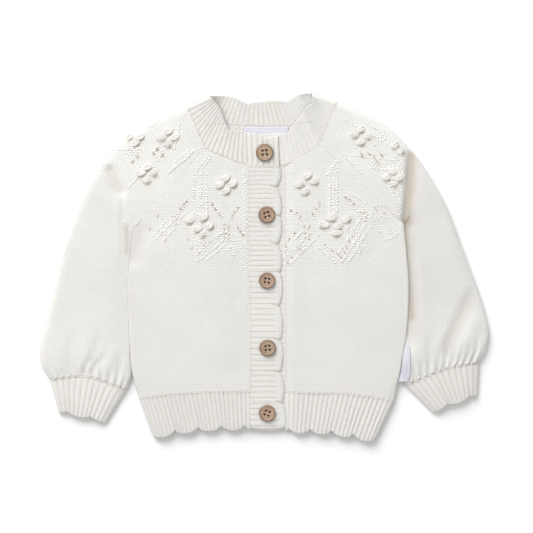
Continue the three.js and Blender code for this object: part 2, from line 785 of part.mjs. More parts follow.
function neckband() {
  const stations = neckStations();
  const runOf = (line) => {
    const run = [0];
    for (let i = 1; i < stations.length; i++) {
      const [a, b] = [stations[i - 1], stations[i]];
      run.push(run[i - 1] + Math.hypot(b[line].x - a[line].x, b[line].y - a[line].y, b.z - a.z));
    }
    return run;
  };
  const lengths = runOf('seam');
  const edgeLengths = runOf('edge');
  const total = lengths.at(-1);
  const ribCount = Math.round(total / rib.neck);
  const places = steps(ribCount * 2).map((t) => t * total);
  const isSloped = (i) => i > 0 && i < lengths.length - 1 && stations[i].z !== stations[i - 1].z;
  const foldPlaces = lengths.filter((l, i) => isSloped(i));
  const spacing = rib.neck / 2;
  const spaced = places.filter((p) => foldPlaces.every((f) => Math.abs(f - p) > spacing * 0.45));
  const allPlaces = [...spaced, ...foldPlaces].sort((a, b) => a - b);
  const columns = allPlaces.map((place) => {
    const i = Math.min(Math.max(lengths.findLastIndex((l) => l <= place), 0), stations.length - 2);
    const [a, b] = [stations[i], stations[i + 1]];
    const t = (place - lengths[i]) / (lengths[i + 1] - lengths[i]);
    return {
      seam: mixPoint(a.seam, b.seam, t),
      edge: mixPoint(a.edge, b.edge, t),
      z: mix(a.z, b.z, t),
      wall: mix(a.wall, b.wall, t),
      edgePlace: mix(edgeLengths[i], edgeLengths[i + 1], t),
    };
  });
  const middle = (column, v) => {
    const margin = (seamGap + 0.12) / neckWidth;
    const across = mix(margin, 1, v);
    const p = mixPoint(column.seam, column.edge, across);
    const lobes = (column.edgePlace - lobe.neckFirst) / lobe.neckWidth;
    const reach = v === 1 ? (scallop(lobes, lobe.neckDepth) - lobe.neckDepth / 2) / neckWidth : 0;
    return new THREE.Vector3(
      p.x + (column.edge.x - column.seam.x) * reach,
      p.y + (column.edge.y - column.seam.y) * reach,
      column.z,
    );
  };
  const rows = [0, 0.5, 1];
  const outer = [];
  const inner = [];
  for (const v of rows) {
    const line = columns.map((c) => middle(c, v));
    outer.push([]);
    inner.push([]);
    line.forEach((p, j) => {
      const before = line[Math.max(j - 1, 0)];
      const after = line[Math.min(j + 1, line.length - 1)];
      const along = after.clone().sub(before);
      const c = columns[j];
      const across = new THREE.Vector3(c.edge.x - c.seam.x, c.edge.y - c.seam.y, 0);
      const normal = along.cross(across).normalize();
      const half = c.wall / 2;
      const isRib = j % 2 === 1 && Math.abs(normal.z) > 0.9 && c.wall === cloth.wall;
      const raised = isRib ? cloth.ribRise : 0;
      const isUp = normal.z > 0;
      outer.at(-1).push(p.clone().addScaledVector(normal, half + (isUp ? raised : 0)));
      inner.at(-1).push(p.clone().addScaledVector(normal, -half - (isUp ? 0 : raised)));
    });
  }
  return wallGeometry(outer, inner);
}

// Bands down the front

/** The seam of a band at a height, from the neck down to the hem seam and straight on. */
function bandSeam(side, y) {
  const s = sides[side];
  const top = s.neckFront.at(-1);
  const t = (top.y - y) / (top.y - s.hemCentre.seamY);
  return mix(top.x, s.hemCentre.x, Math.min(t, 1));
}

/** The scalloped edge of the band on top, bulging between its notches. */
function bandEdge(y) {
  const i = Math.min(bandNotches.findLastIndex((n) => n.y >= y), bandNotches.length - 2);
  const [a, b] = [bandNotches[i], bandNotches[i + 1]];
  const t = (a.y - y) / (a.y - b.y);
  return mix(a.x, b.x, t) + scallop(t, lobe.bandDepth);
}

function buttonholeBand() {
  const { top, bottom } = bandEnds;
  const ribCount = Math.round((top - bottom) / rib.band);
  const rows = steps(ribCount * 2);
  const at = (isOuter) => (u, v) => {
    const y = mix(top, bottom, v);
    const isCrest = Math.round(v * ribCount * 2) % 2 === 1;
    const z = topFloor + (isOuter ? cloth.wall + (isCrest ? cloth.ribRise : 0) : 0);
    return new THREE.Vector3(mix(bandSeam('right', y) + seamGap, bandEdge(y), u), y, z);
  };
  return wallGeometry(grid([0, 1], rows, at(true)), grid([0, 1], rows, at(false)));
}

/** The covered band, sewn to the left front. */
function buttonBand() {
  const { top, bottom } = bandEnds;
  const at = (z) => (u, v) => {
    const y = mix(top, bottom + 1, v);
    const edgeX = bandSeam('right', y) + 5 - scallop(v * 9, lobe.bandDepth);
    return new THREE.Vector3(mix(edgeX, bandSeam('left', y) - seamGap, u), y, z);
  };
  const rows = steps(45);
  const upper = grid([0, 1], rows, at(underFloor + cloth.underWall));
  const lower = grid([0, 1], rows, at(underFloor));
  return wallGeometry(upper, lower);
}

/** A four-hole button: a turned disc with a rounded rim and a shallow dish, drilled through. */
function buttonGeometry() {
  const radius = button.diameter / 2;
  const { thick, rim } = button;
  const profile = [
    [0, 0],
    [radius - rim, 0],
    [radius, rim],
    [radius, thick - rim],
    [radius - rim, thick],
    [radius - 2.2 * rim, thick - 0.35],
    [0, thick - 0.35],
  ].map(([r, z]) => new THREE.Vector2(r, z));
  const around = 18;
  const points = [new THREE.Vector3(0, 0, profile[0].y), new THREE.Vector3(0, 0, profile.at(-1).y)];
  const middle = profile.slice(1, -1);
  for (const p of middle) {
    for (let j = 0; j < around; j++) {
      const angle = (2 * Math.PI * j) / around;
      points.push(new THREE.Vector3(p.x * Math.cos(angle), p.x * Math.sin(angle), p.y));
    }
  }
  const triangles = [];
  const at = (i, j) => 2 + i * around + (j % around);
  for (let j = 0; j < around; j++) {
    const top = middle.length - 1;
    triangles.push([0, at(0, j + 1), at(0, j)], [1, at(top, j), at(top, j + 1)]);
    for (let i = 0; i < top; i++) {
      const [a, b, c, d] = [at(i, j), at(i, j + 1), at(i + 1, j + 1), at(i + 1, j)];
      triangles.push([a, b, c], [a, c, d]);
    }
  }
  let solid = toSolid(fromPoints(points, triangles));
  const holeRadius = button.holeDiameter / 2;
  for (const sx of [-1, 1]) {
    for (const sy of [-1, 1]) {
      const drill = new THREE.CylinderGeometry(holeRadius, holeRadius, thick * 3, 6);
      drill.rotateX(Math.PI / 2);
      drill.translate((sx * button.holeSpacing) / 2, (sy * button.holeSpacing) / 2, thick / 2);
      solid = solid.subtract(toSolid(closed(drill)));
    }
  }
  return toGeometry(solid);
}

/** Shares the corners of a three.js geometry, so that it is one closed mesh. */
function closed(geometry) {
  const source = geometry.attributes.position;
  const keys = new Map();
  const positions = [];
  const shared = [];
  for (let i = 0; i < source.count; i++) {
    const point = [source.getX(i), source.getY(i), source.getZ(i)];
    const key = point.map((c) => Math.round(c * 1e4)).join();
    if (!keys.has(key)) {
      keys.set(key, positions.length / 3);
      positions.push(...point);
    }
    shared.push(keys.get(key));
  }
  const triangles = [];
  const index = geometry.index.array;
  for (let i = 0; i < index.length; i += 3) {
    const t = [shared[index[i]], shared[index[i + 1]], shared[index[i + 2]]];
    if (new Set(t).size === 3) triangles.push(...t);
  }
  const merged = new THREE.BufferGeometry();
  merged.setAttribute('position', new THREE.Float32BufferAttribute(positions, 3));
  merged.setIndex(triangles);
  return merged;
}

// Labels, both plain

function neckLabel() {
  const { x, top, width, length } = neckTape;
  const at = (z) => (u, v) => new THREE.Vector3(x + (u - 0.5) * width, top - v * length, z);
  const floor = cloth.wall + layerGap;
  return wallGeometry(grid([0, 1], [0, 1], at(floor + cloth.label)), grid([0, 1], [0, 1], at(floor)));
}

/** A folded tape in the left side seam, lying on the sleeve and made from the sleeve's points. */
function sideLabel() {
  const { outer } = sleeveSections('left');
  const { first, last, lift } = sideTape;
  const covered = outer.slice(first, last).map((section) => section.slice(first, last));
  const at = (extra) =>
    covered.map((section) => section.map((p) => new THREE.Vector3(p.x, p.y, p.z + lift + extra)));
  return wallGeometry(at(cloth.label), at(0));
}

// Assembly

const materials = {
  knit: new THREE.MeshStandardMaterial({ color: colours.knit, roughness: 0.95, metalness: 0 }),
  ribbing: new THREE.MeshStandardMaterial({ color: colours.ribbing, roughness: 0.95, metalness: 0 }),
  tape: new THREE.MeshStandardMaterial({ color: colours.tape, roughness: 0.7, metalness: 0 }),
  shell: new THREE.MeshStandardMaterial({ color: colours.shell, roughness: 0.6, metalness: 0 }),
};

function piece(name, geometry, material) {
  const mesh = new THREE.Mesh(geometry, material.clone());
  mesh.name = name;
  return mesh;
}

const cardigan = new THREE.Group();
cardigan.add(piece('back_panel', backPanel(), materials.knit));
cardigan.add(piece('back_hem_rib', backHem(), materials.ribbing));
for (const side of ['right', 'left']) {
  cardigan.add(piece(`${side}_front_panel`, frontPanel(side), materials.knit));
  cardigan.add(piece(`${side}_front_hem_rib`, frontHem(side), materials.ribbing));
  cardigan.add(piece(`${side}_sleeve`, sleeve(side), materials.knit));
  cardigan.add(piece(`${side}_cuff_rib`, cuff(side), materials.ribbing));
}
cardigan.add(piece('neckband_rib', neckband(), materials.ribbing));
cardigan.add(piece('buttonhole_band', buttonholeBand(), materials.ribbing));
cardigan.add(piece('button_band', buttonBand(), materials.ribbing));
buttonTable.forEach((row, i) => {
  const mesh = piece(`button_${i + 1}`, buttonGeometry(), materials.shell);
  mesh.position.set(row.x, row.y, topFloor + cloth.wall + cloth.ribRise + layerGap);
  cardigan.add(mesh);
});
cardigan.add(piece('neck_label', neckLabel(), materials.tape));
cardigan.add(piece('side_label', sideLabel(), materials.tape));

// The origin is on the table, under the middle of the garment's outline.
const outline = new THREE.Box3().setFromObject(cardigan);
const centre = outline.getCenter(new THREE.Vector3());
cardigan.position.set(-centre.x, -centre.y, -outline.min.z);
cardigan.updateMatrixWorld(true);

export default cardigan;
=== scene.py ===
# A baby's cardigan in off-white cotton knit, buttoned up and laid on its back.
# Shapes are worked out in millimetres, with X towards the wearer's left and Y from hem to neck,
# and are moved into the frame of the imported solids, in metres, as each mesh is filled in.
import math
import random

import bmesh
import bpy
import numpy as np
from mathutils import Matrix, Vector
from mathutils.bvhtree import BVHTree


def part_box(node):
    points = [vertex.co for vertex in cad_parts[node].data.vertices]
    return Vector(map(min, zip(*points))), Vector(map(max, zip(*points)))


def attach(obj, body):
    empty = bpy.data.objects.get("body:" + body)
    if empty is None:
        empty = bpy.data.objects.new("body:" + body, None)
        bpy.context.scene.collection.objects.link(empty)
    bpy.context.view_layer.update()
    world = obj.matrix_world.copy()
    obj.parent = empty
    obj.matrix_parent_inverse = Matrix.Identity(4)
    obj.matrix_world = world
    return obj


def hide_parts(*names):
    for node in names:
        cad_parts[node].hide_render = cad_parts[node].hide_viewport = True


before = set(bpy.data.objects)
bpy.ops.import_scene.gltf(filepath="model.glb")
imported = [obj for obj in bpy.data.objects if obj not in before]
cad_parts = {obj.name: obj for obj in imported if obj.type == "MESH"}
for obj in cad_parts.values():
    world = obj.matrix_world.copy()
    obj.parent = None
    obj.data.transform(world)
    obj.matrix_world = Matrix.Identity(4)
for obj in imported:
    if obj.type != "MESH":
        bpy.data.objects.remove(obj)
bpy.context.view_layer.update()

# the waist button is at (1, -12.5), which fixes the garment in the frame
lowCorner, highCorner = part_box("button_3")
garmentShift = Vector((
    (lowCorner.x + highCorner.x) / 2 - 0.001,
    (lowCorner.y + highCorner.y) / 2 + 0.0125,
    0,
))

cloth = {
    "wall": 2.0,
    "coveredWall": 1.6,
    "seamGap": -0.3,  # the pieces overlap by this at their seams
    "frontFloor": 2.3,  # underside of the fronts at the side seams
    "frontAir": 3.4,  # how far they stand clear of the back
    "coveredFloor": 3.75,
    "course": 1.7,  # one row of stitches
    "waleRise": 0.5,
    "hemRise": 0.8,
    "cuffRise": 0.75,
    "neckRise": 0.5,
    "bandRise": 0.42,
}
topFloor = cloth["frontFloor"] + cloth["frontAir"]
seamHeight = topFloor + cloth["wall"]

# the cut of each side as it lies; right and left are the wearer's
cut = {
    "right": {
        "bodyWidth": 112,
        "bodyEdge": [
            (-113, -168), (-127, -130), (-133.5, -107), (-137.5, -60), (-138.5, -10), (-135, 38),
        ],
        "sleeveOuter": [
            (-216, -111), (-224.5, -98), (-226.5, -82), (-218.5, -45), (-212, -17), (-204, 18),
            (-192, 52), (-178, 83), (-157, 117), (-126, 141.5), (-79, 163),
        ],
        "sleeveInner": [
            (-139.5, -121), (-136, -108), (-138.5, -85), (-140.2, -45), (-140.2, -10), (-136.4, 38),
        ],
        "cuffBend": (-180, -108),
        "cuffInner": (-160.5, -155),
        "cuffOuter": (-207.5, -145),
        "raglanFront": (-61, 121),
        "raglanBack": (-55, 146),
        "hemCentre": (-15.5, -160),
        "hemCentreSeam": (-15.5, -123),
        "neckFront": [(-53, 116.5), (-42, 112.5), (-30, 107.5), (-18.5, 104)],
        "neckBack": (-27, 144.2),
        "neckEdge": [(-56, 173), (-46.5, 154), (-39.5, 142.5), (-19.5, 134)],
        "hemFirstNotch": 1.3,
        "hemRibs": 25,
    },
    "left": {
        "bodyWidth": 109,
        "bodyEdge": [
            (110, -172), (128.5, -132), (133.5, -109), (136.8, -90), (141.3, -62), (143, -14), (138, 44),
        ],
        "sleeveOuter": [
            (213.5, -93.5), (219.5, -84), (223, -66), (216.5, -36), (207, -9), (195.5, 22),
            (182, 58), (168, 85), (146, 117), (117, 145), (70, 166.5),
        ],
        "sleeveInner": [
            (139, -116.5), (136.6, -105), (138.8, -88), (143, -60), (144.8, -14), (139.4, 44),
        ],
        "cuffBend": (178, -101.5),
        "cuffInner": (167, -145),
        "cuffOuter": (211.5, -128.5),
        "raglanFront": (53, 124),
        "raglanBack": (48, 147),
        "hemCentre": (19, -162.5),
        "hemCentreSeam": (19, -123.5),
        "neckFront": [(46, 119.5), (37, 113.5), (28, 108), (18.5, 103.5)],
        "neckBack": (24, 144.2),
        "neckEdge": [(48, 175), (40.5, 158), (32, 144.5), (12, 133)],
        "hemFirstNotch": 0.8,
        "hemRibs": 22,
    },
}
backNeck = (-2, 143.4)

print("cardigan: frame loaded")


# Lines and patches in the plan. A line is a function from an array of shares, 0 to 1, to points.

def ease(t):
    t = np.clip(t, 0, 1)
    return t * t * (3 - 2 * t)


def mix(a, b, t):
    return a + (b - a) * t


def rounded(distance, radius):
    inward = np.clip(distance / radius, 0, 1)
    return np.sqrt(1 - (1 - inward) ** 2)


def byShares(points, shares):
    return lambda t: np.stack([np.interp(t, shares, points[:, 0]), np.interp(t, shares, points[:, 1])], -1)


def straightLine(rows):
    points = np.array(rows, float)
    return byShares(points, np.linspace(0, 1, len(points)))


def smoothLine(rows):
    # a centripetal curve through the rows, followed by its own length
    points = list(np.array(rows, float))
    points = [2 * points[0] - points[1], *points, 2 * points[-1] - points[-2]]
    fine = [points[1]]
    t = np.linspace(0, 1, 41)[1:, None]
    for before, start, end, after in zip(points, points[1:], points[2:], points[3:]):
        first, middle, last = (math.dist(a, b) ** 0.5 for a, b in ((before, start), (start, end), (end, after)))
        leave = (start - before) / first - (end - before) / (first + middle) + (end - start) / middle
        arrive = (end - start) / middle - (after - start) / (middle + last) + (after - end) / last
        leave, arrive = leave * middle, arrive * middle
        squared = 3 * (end - start) - 2 * leave - arrive
        cubed = 2 * (start - end) + leave + arrive
        fine.extend(start + leave * t + squared * t**2 + cubed * t**3)
    fine = np.array(fine)
    run = np.concatenate([[0], np.cumsum(np.hypot(*np.diff(fine, axis=0).T))])
    return byShares(fine, run / run[-1])


def bentLine(first, second, share):
    def line(t):
        t = np.asarray(t, float)
        early = np.clip(t / share, 0, 1)
        late = np.clip((t - share) / (1 - share), 0, 1)
        return np.where((t < share)[..., None], first(early), second(late))
    return line


def patch(bottom, top, left, right, width, height):
    gap = cloth["seamGap"] / 2
    ends = np.array([0.0, 1.0])
    (b0, b1), (t0, t1) = bottom(ends), top(ends)

    def place(u, v):
        u = mix(gap / width, 1 - gap / width, u)
        v = mix(gap / height, 1 - gap / height, v)
        across, up = u[:, None], v[:, None]
        plain = mix(mix(b0, b1, across), mix(t0, t1, across), up)
        return mix(bottom(u), top(u), up) + mix(left(v), right(v), across) - plain
    return place


def folds(rows, x, y):
    # soft ridges (height above 0) and troughs (below 0) laid along short lines; a fifth number is
    # another width, for the side to the right of the line
    total = np.zeros_like(x)
    for (x1, y1), (x2, y2), width, height, *right in rows:
        dx, dy = x2 - x1, y2 - y1
        t = np.clip(((x - x1) * dx + (y - y1) * dy) / (dx * dx + dy * dy), 0, 1)
        awayX, awayY = x - x1 - dx * t, y - y1 - dy * t
        away = np.hypot(awayX, awayY)
        turn = (dx * awayY - dy * awayX) / (np.maximum(away, 0.001) * math.hypot(dx, dy))
        wide = mix(width, right[0] if right else width, 0.5 - 0.5 * turn)
        total += height * np.exp(-(away / wide) ** 2)
    return total


def scallop(steps, depth):
    return depth * np.abs(np.sin(np.pi * steps)) ** 0.6


def ribProfile(ribs, flat=2.6):
    return 1 - np.abs(2 * (ribs % 1) - 1) ** flat


def edged(count, length, roundOver=1.0):
    # shares along a side, with two more near each end for its rounded edge
    near = np.array([0, 0.3, 0.8]) * roundOver / length
    middle = np.linspace(near[2], 1 - near[2], count)[1:-1]
    return np.concatenate([near, middle, 1 - near[::-1]])


def foldedShares(count):
    t = np.linspace(0, 1, count + 1)
    return (t + (1 - np.cos(np.pi * t)) / 2) / 2


# Knitted sheets

def newPiece(name, mesh, material, nodes=()):
    data = bpy.data.meshes.new(name)
    mesh.to_mesh(data)
    mesh.free()
    data.materials.append(material)
    data.shade_smooth()
    piece = bpy.data.objects.new(name, data)
    bpy.context.scene.collection.objects.link(piece)
    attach(piece, "root")
    if nodes:
        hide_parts(*nodes)
    return piece


skins = {}  # the outer faces of finished cloth, to set stitches and flowers on


def sinkHoles(mesh, holes, shade):
    # each hole is a centre, half its width, half its length, its lean in degrees and its depth; the pit and its rim
    # get painted shade
    verts = [v for v in mesh.verts if v.normal.z > 0.3]
    if not verts:
        return
    flat = np.array([(v.co.x, v.co.y) for v in verts])
    for (x, y), halfWidth, halfLength, lean, depth in holes:
        centre = garmentShift.xy + Vector((x, y)) * 0.001
        angle = math.radians(lean)
        side = Vector((math.cos(angle), math.sin(angle)))
        length = Vector((-math.sin(angle), math.cos(angle)))
        away = flat - np.array(centre)
        reach = np.hypot(away @ np.array(side) / halfWidth, away @ np.array(length) / halfLength) * 1000
        inside = set(np.nonzero(reach < 0.75)[0]) | {int(np.argmin(reach))}
        inside = [verts[i] for i in inside]
        ring = {v for low in inside for f in low.link_faces for v in f.verts} - set(inside)
        for v in inside:
            offset = v.co.xy - centre
            v.co.xy = centre + offset * 0.7
            v.co.z -= depth * 0.001
            # painted shade: the darkest inside the pit
            v[shade] = 1.5
        for v in ring:
            if v[shade] < 1:
                offset = (v.co.xy - centre) * 1000
                unit = math.hypot(offset.dot(side) / halfWidth, offset.dot(length) / halfLength)
                v.co.xy = centre + offset * mix(1, 1 / max(unit, 0.5), 0.8) * 0.001
                # painted shade, lighter, on the pit's rim
                v[shade] = 0.7


def knitSheet(name, across, along, shapeAt, holes=()):
    # shapeAt gives the outer and inner points, the stitch coordinates and how much painted shade each takes, which
    # darkens the colour in rib grooves, seams, creases, corners and pits
    mesh = bmesh.new()
    bmesh.ops.create_grid(mesh, x_segments=len(across) - 1, y_segments=len(along) - 1, size=1)
    start = np.array([v.co for v in mesh.verts])
    columns = np.rint((start[:, 0] + 1) / 2 * (len(across) - 1)).astype(int)
    rows = np.rint((start[:, 1] + 1) / 2 * (len(along) - 1)).astype(int)
    outer, inner, stitches, paintedShade = shapeAt(np.asarray(across)[columns], np.asarray(along)[rows])
    shift = np.array(garmentShift)
    inward = mesh.verts.layers.float_vector.new("inward")
    # the painted shade of each vertex, which the knit material reads as an attribute
    shade = mesh.verts.layers.float.new("paintedShade")
    knitUv = mesh.loops.layers.uv.new("knit")
    mesh.verts.index_update()
    for vert, point, depth, dark in zip(mesh.verts, outer * 0.001 + shift, (inner - outer) * 0.001, paintedShade):
        vert.co = point
        vert[inward] = depth
        vert[shade] = dark
    for face in mesh.faces:
        for loop in face.loops:
            loop[knitUv].uv = stitches[loop.vert.index]
    bmesh.ops.remove_doubles(mesh, verts=mesh.verts, dist=0.00001)
    mesh.normal_update()
    middle = float(np.mean(outer[:, 2])) * 0.001
    if sum(f.normal.z * f.calc_area() for f in mesh.faces if f.calc_center_median().z >= middle) < 0:
        bmesh.ops.reverse_faces(mesh, faces=mesh.faces)
        mesh.normal_update()
    if holes:
        sinkHoles(mesh, holes, shade)
    skins[name] = BVHTree.FromBMesh(mesh)
    outside = mesh.faces[:]
    made = bmesh.ops.extrude_face_region(mesh, geom=outside, use_keep_orig=True)
    for part in made["geom"]:
        if isinstance(part, bmesh.types.BMVert):
            part.co += part[inward]
            part.co.z -= 0.0005 if part[shade] > 1 else 0
    for vert in mesh.verts:
        vert.co.z = max(vert.co.z, 0)  # nothing sinks into the table
    if mesh.calc_volume(signed=True) < 0:
        bmesh.ops.reverse_faces(mesh, faces=mesh.faces)
    mesh.verts.layers.float_vector.remove(mesh.verts.layers.float_vector["inward"])
    return mesh


def withEdges(outer, inner, distance, radius=0.9):
    # thins the wall towards an open edge, which rounds it
    share = (0.36 * (1 - rounded(distance, radius)))[:, None]
    return mix(outer, inner, share), mix(inner, outer, share)


def upright(p, z):
    return np.column_stack([p, z])


def drop(x, y, names):
    # the highest cloth under a place in the plan, and which way it faces
    best = None
    for name in names:
        hit = skins[name].ray_cast(Vector((x * 0.001, y * 0.001, 1)) + garmentShift, Vector((0, 0, -1)))
        if hit[0] is not None and (best is None or hit[0].z > best[0].z):
            best = hit
    if best is None:
        return None
    facing = best[1] if best[1].z > 0 else -best[1]
    return best[0], facing


# Materials

def newMaterial(name, roughness, sheen=0.0, specular=0.3):
    material = bpy.data.materials.new(name)
    material.use_nodes = True
    shader = material.node_tree.nodes["Principled BSDF"]
    shader.inputs["Roughness"].default_value = roughness
    shader.inputs["Specular IOR Level"].default_value = specular
    shader.inputs["Sheen Weight"].default_value = sheen
    shader.inputs["Sheen Roughness"].default_value = 0.6
    return material, material.node_tree, shader


def calc(tree, operation, a, b=None, c=None):
    node = tree.nodes.new("ShaderNodeMath")
    node.operation = operation
    for socket, value in zip(node.inputs, (a, b, c)):
        if isinstance(value, (int, float)):
            socket.default_value = value
        elif value is not None:
            tree.links.new(value, socket)
    return node.outputs[0]


def noise(tree, vector, scale, detail=3.0, rough=0.55):
    node = tree.nodes.new("ShaderNodeTexNoise")
    node.inputs["Scale"].default_value = scale
    node.inputs["Detail"].default_value = detail
    node.inputs["Roughness"].default_value = rough
    tree.links.new(vector, node.inputs["Vector"])
    return node.outputs["Fac"]


def blendColours(tree, share, low, high):
    node = tree.nodes.new("ShaderNodeMix")
    node.data_type = "RGBA"
    tree.links.new(share, node.inputs["Factor"])
    for socket, colour in ((node.inputs[6], low), (node.inputs[7], high)):
        if isinstance(colour, tuple):
            socket.default_value = (*colour, 1)
        else:
            tree.links.new(colour, socket)
    return node.outputs[2]


def addBump(tree, shader, height, strength, distance):
    node = tree.nodes.new("ShaderNodeBump")
    node.inputs["Strength"].default_value = strength
    node.inputs["Distance"].default_value = distance
    tree.links.new(height, node.inputs["Height"])
    tree.links.new(node.outputs["Normal"], shader.inputs["Normal"])


def knitMaterial(name, light, dark, depth):
    # V stitches: each wale is a column of paired legs that lean in to its middle
    material, tree, shader = newMaterial(name, roughness=0.92, sheen=0.15, specular=0.2)
    coordinate = tree.nodes.new("ShaderNodeTexCoord")
    uvMap = tree.nodes.new("ShaderNodeUVMap")
    uvMap.uv_map = "knit"
    split = tree.nodes.new("ShaderNodeSeparateXYZ")
    tree.links.new(uvMap.outputs["UV"], split.inputs[0])
    place = coordinate.outputs["Object"]
    wander = calc(tree, "MULTIPLY", calc(tree, "SUBTRACT", noise(tree, place, 260), 0.5), 0.35)
    wale = calc(tree, "SUBTRACT", calc(tree, "FRACT", calc(tree, "ADD", split.outputs["X"], wander)), 0.5)
    fromMiddle = calc(tree, "ABSOLUTE", wale)
    lean = calc(tree, "SUBTRACT", split.outputs["Y"], calc(tree, "MULTIPLY", fromMiddle, 1.1))
    along = calc(tree, "SINE", calc(tree, "MULTIPLY", calc(tree, "FRACT", lean), math.pi))
    over = calc(tree, "SINE", calc(tree, "MULTIPLY", fromMiddle, 2 * math.pi))
    stitch = calc(tree, "MULTIPLY", calc(tree, "POWER", along, 0.7), calc(tree, "MULTIPLY_ADD", over, 0.65, 0.35))
    fibre = noise(tree, place, 2600, detail=2)
    height = calc(tree, "MULTIPLY_ADD", fibre, 0.35, stitch)
    addBump(tree, shader, height, strength=0.85, distance=depth)
    # colour: random mottle in the yarn's tone, plus painted shade that darkens it between stitch legs, following
    # stitch height
    mottle = calc(tree, "MULTIPLY_ADD", noise(tree, place, 380, detail=2), 0.7, noise(tree, place, 45, detail=5))
    mottleAndStitchShade = calc(tree, "MULTIPLY_ADD", mottle, 0.38, calc(tree, "MULTIPLY", stitch, 0.45))
    base = blendColours(tree, mottleAndStitchShade, dark, light)
    # painted shade: the vertex value blends the colour towards a browner copy of the dark tone
    paintedShade = tree.nodes.new("ShaderNodeAttribute")
    paintedShade.attribute_name = "paintedShade"
    paintedShadeColour = tuple(c * k for c, k in zip(dark, (0.70, 0.62, 0.53)))
    colour = blendColours(tree, calc(tree, "MULTIPLY", paintedShade.outputs["Fac"], 0.75), base, paintedShadeColour)
    tree.links.new(colour, shader.inputs["Base Color"])
    return material


finish = {
    # the knit and rib pairs are the ends of blends that are partly random tone and partly painted shade between stitch
    # legs
    "knitLight": (0.86, 0.853, 0.825),
    "knitDark": (0.76, 0.75, 0.72),
    "ribLight": (0.825, 0.818, 0.79),
    "ribDark": (0.725, 0.717, 0.687),
    # a darker copy of the knit's cotton: painted shade for the raised petals and the seam loops
    "shadedYarnLight": (0.72, 0.71, 0.68),
    "shadedYarnDark": (0.61, 0.598, 0.562),
    "stitchLight": (0.86, 0.853, 0.825),
    "stitchDark": (0.78, 0.77, 0.74),
    "tape": (0.575, 0.565, 0.635),
    "shellDark": (0.15, 0.085, 0.048),
    "shellLight": (0.47, 0.345, 0.245),
    # near-black: painted shade inside the button holes, on the thread shank under them
    "threadShade": (0.05, 0.032, 0.022),
}
knit = knitMaterial("cotton_knit", finish["knitLight"], finish["knitDark"], 0.0009)
ribbing = knitMaterial("cotton_rib", finish["ribLight"], finish["ribDark"], 0.0008)


def yarnMaterial(name, light, dark):
    material, tree, shader = newMaterial(name, roughness=0.9, sheen=0.15, specular=0.2)
    place = tree.nodes.new("ShaderNodeTexCoord").outputs["Object"]
    strands = tree.nodes.new("ShaderNodeTexWave")
    strands.inputs["Scale"].default_value = 420
    strands.inputs["Distortion"].default_value = 6
    strands.inputs["Detail"].default_value = 2
    tree.links.new(place, strands.inputs["Vector"])
    fibre = noise(tree, place, 1800, detail=3)
    height = calc(tree, "MULTIPLY_ADD", fibre, 0.6, strands.outputs["Fac"])
    addBump(tree, shader, height, strength=0.5, distance=0.0003)
    share = calc(tree, "MULTIPLY_ADD", noise(tree, place, 120), 0.6, calc(tree, "MULTIPLY", fibre, 0.4))
    tree.links.new(blendColours(tree, share, dark, light), shader.inputs["Base Color"])
    return material


# the petals and seam loops take the darker cotton, which is painted shade; the stitch beads take the cloth's own tone
yarn = yarnMaterial("cotton_yarn_shaded", finish["shadedYarnLight"], finish["shadedYarnDark"])
stitchYarn = yarnMaterial("cotton_stitch_yarn", finish["stitchLight"], finish["stitchDark"])


def tapeMaterial():
    material, tree, shader = newMaterial("satin_tape", roughness=0.5, sheen=0.1, specular=0.5)
    place = tree.nodes.new("ShaderNodeTexCoord").outputs["Object"]
    weave = tree.nodes.new("ShaderNodeTexWave")
    weave.bands_direction = "Y"
    weave.inputs["Scale"].default_value = 900
    weave.inputs["Distortion"].default_value = 0.6
    tree.links.new(place, weave.inputs["Vector"])
    addBump(tree, shader, weave.outputs["Fac"], strength=0.4, distance=0.00012)
    share = calc(tree, "MULTIPLY_ADD", noise(tree, place, 60), 0.5, calc(tree, "MULTIPLY", weave.outputs["Fac"], 0.5))
    darker = tuple(c * 0.93 for c in finish["tape"])
    tree.links.new(blendColours(tree, share, darker, finish["tape"]), shader.inputs["Base Color"])
    return material


tape = tapeMaterial()


# Camera, light and the table

view = {
    "centre": (0.5, 1.5),  # what the middle of the photograph looks at
    "height": 2400,
    "span": 533,  # width of the frame at the height of the cloth
    "clothHeight": 7,
}


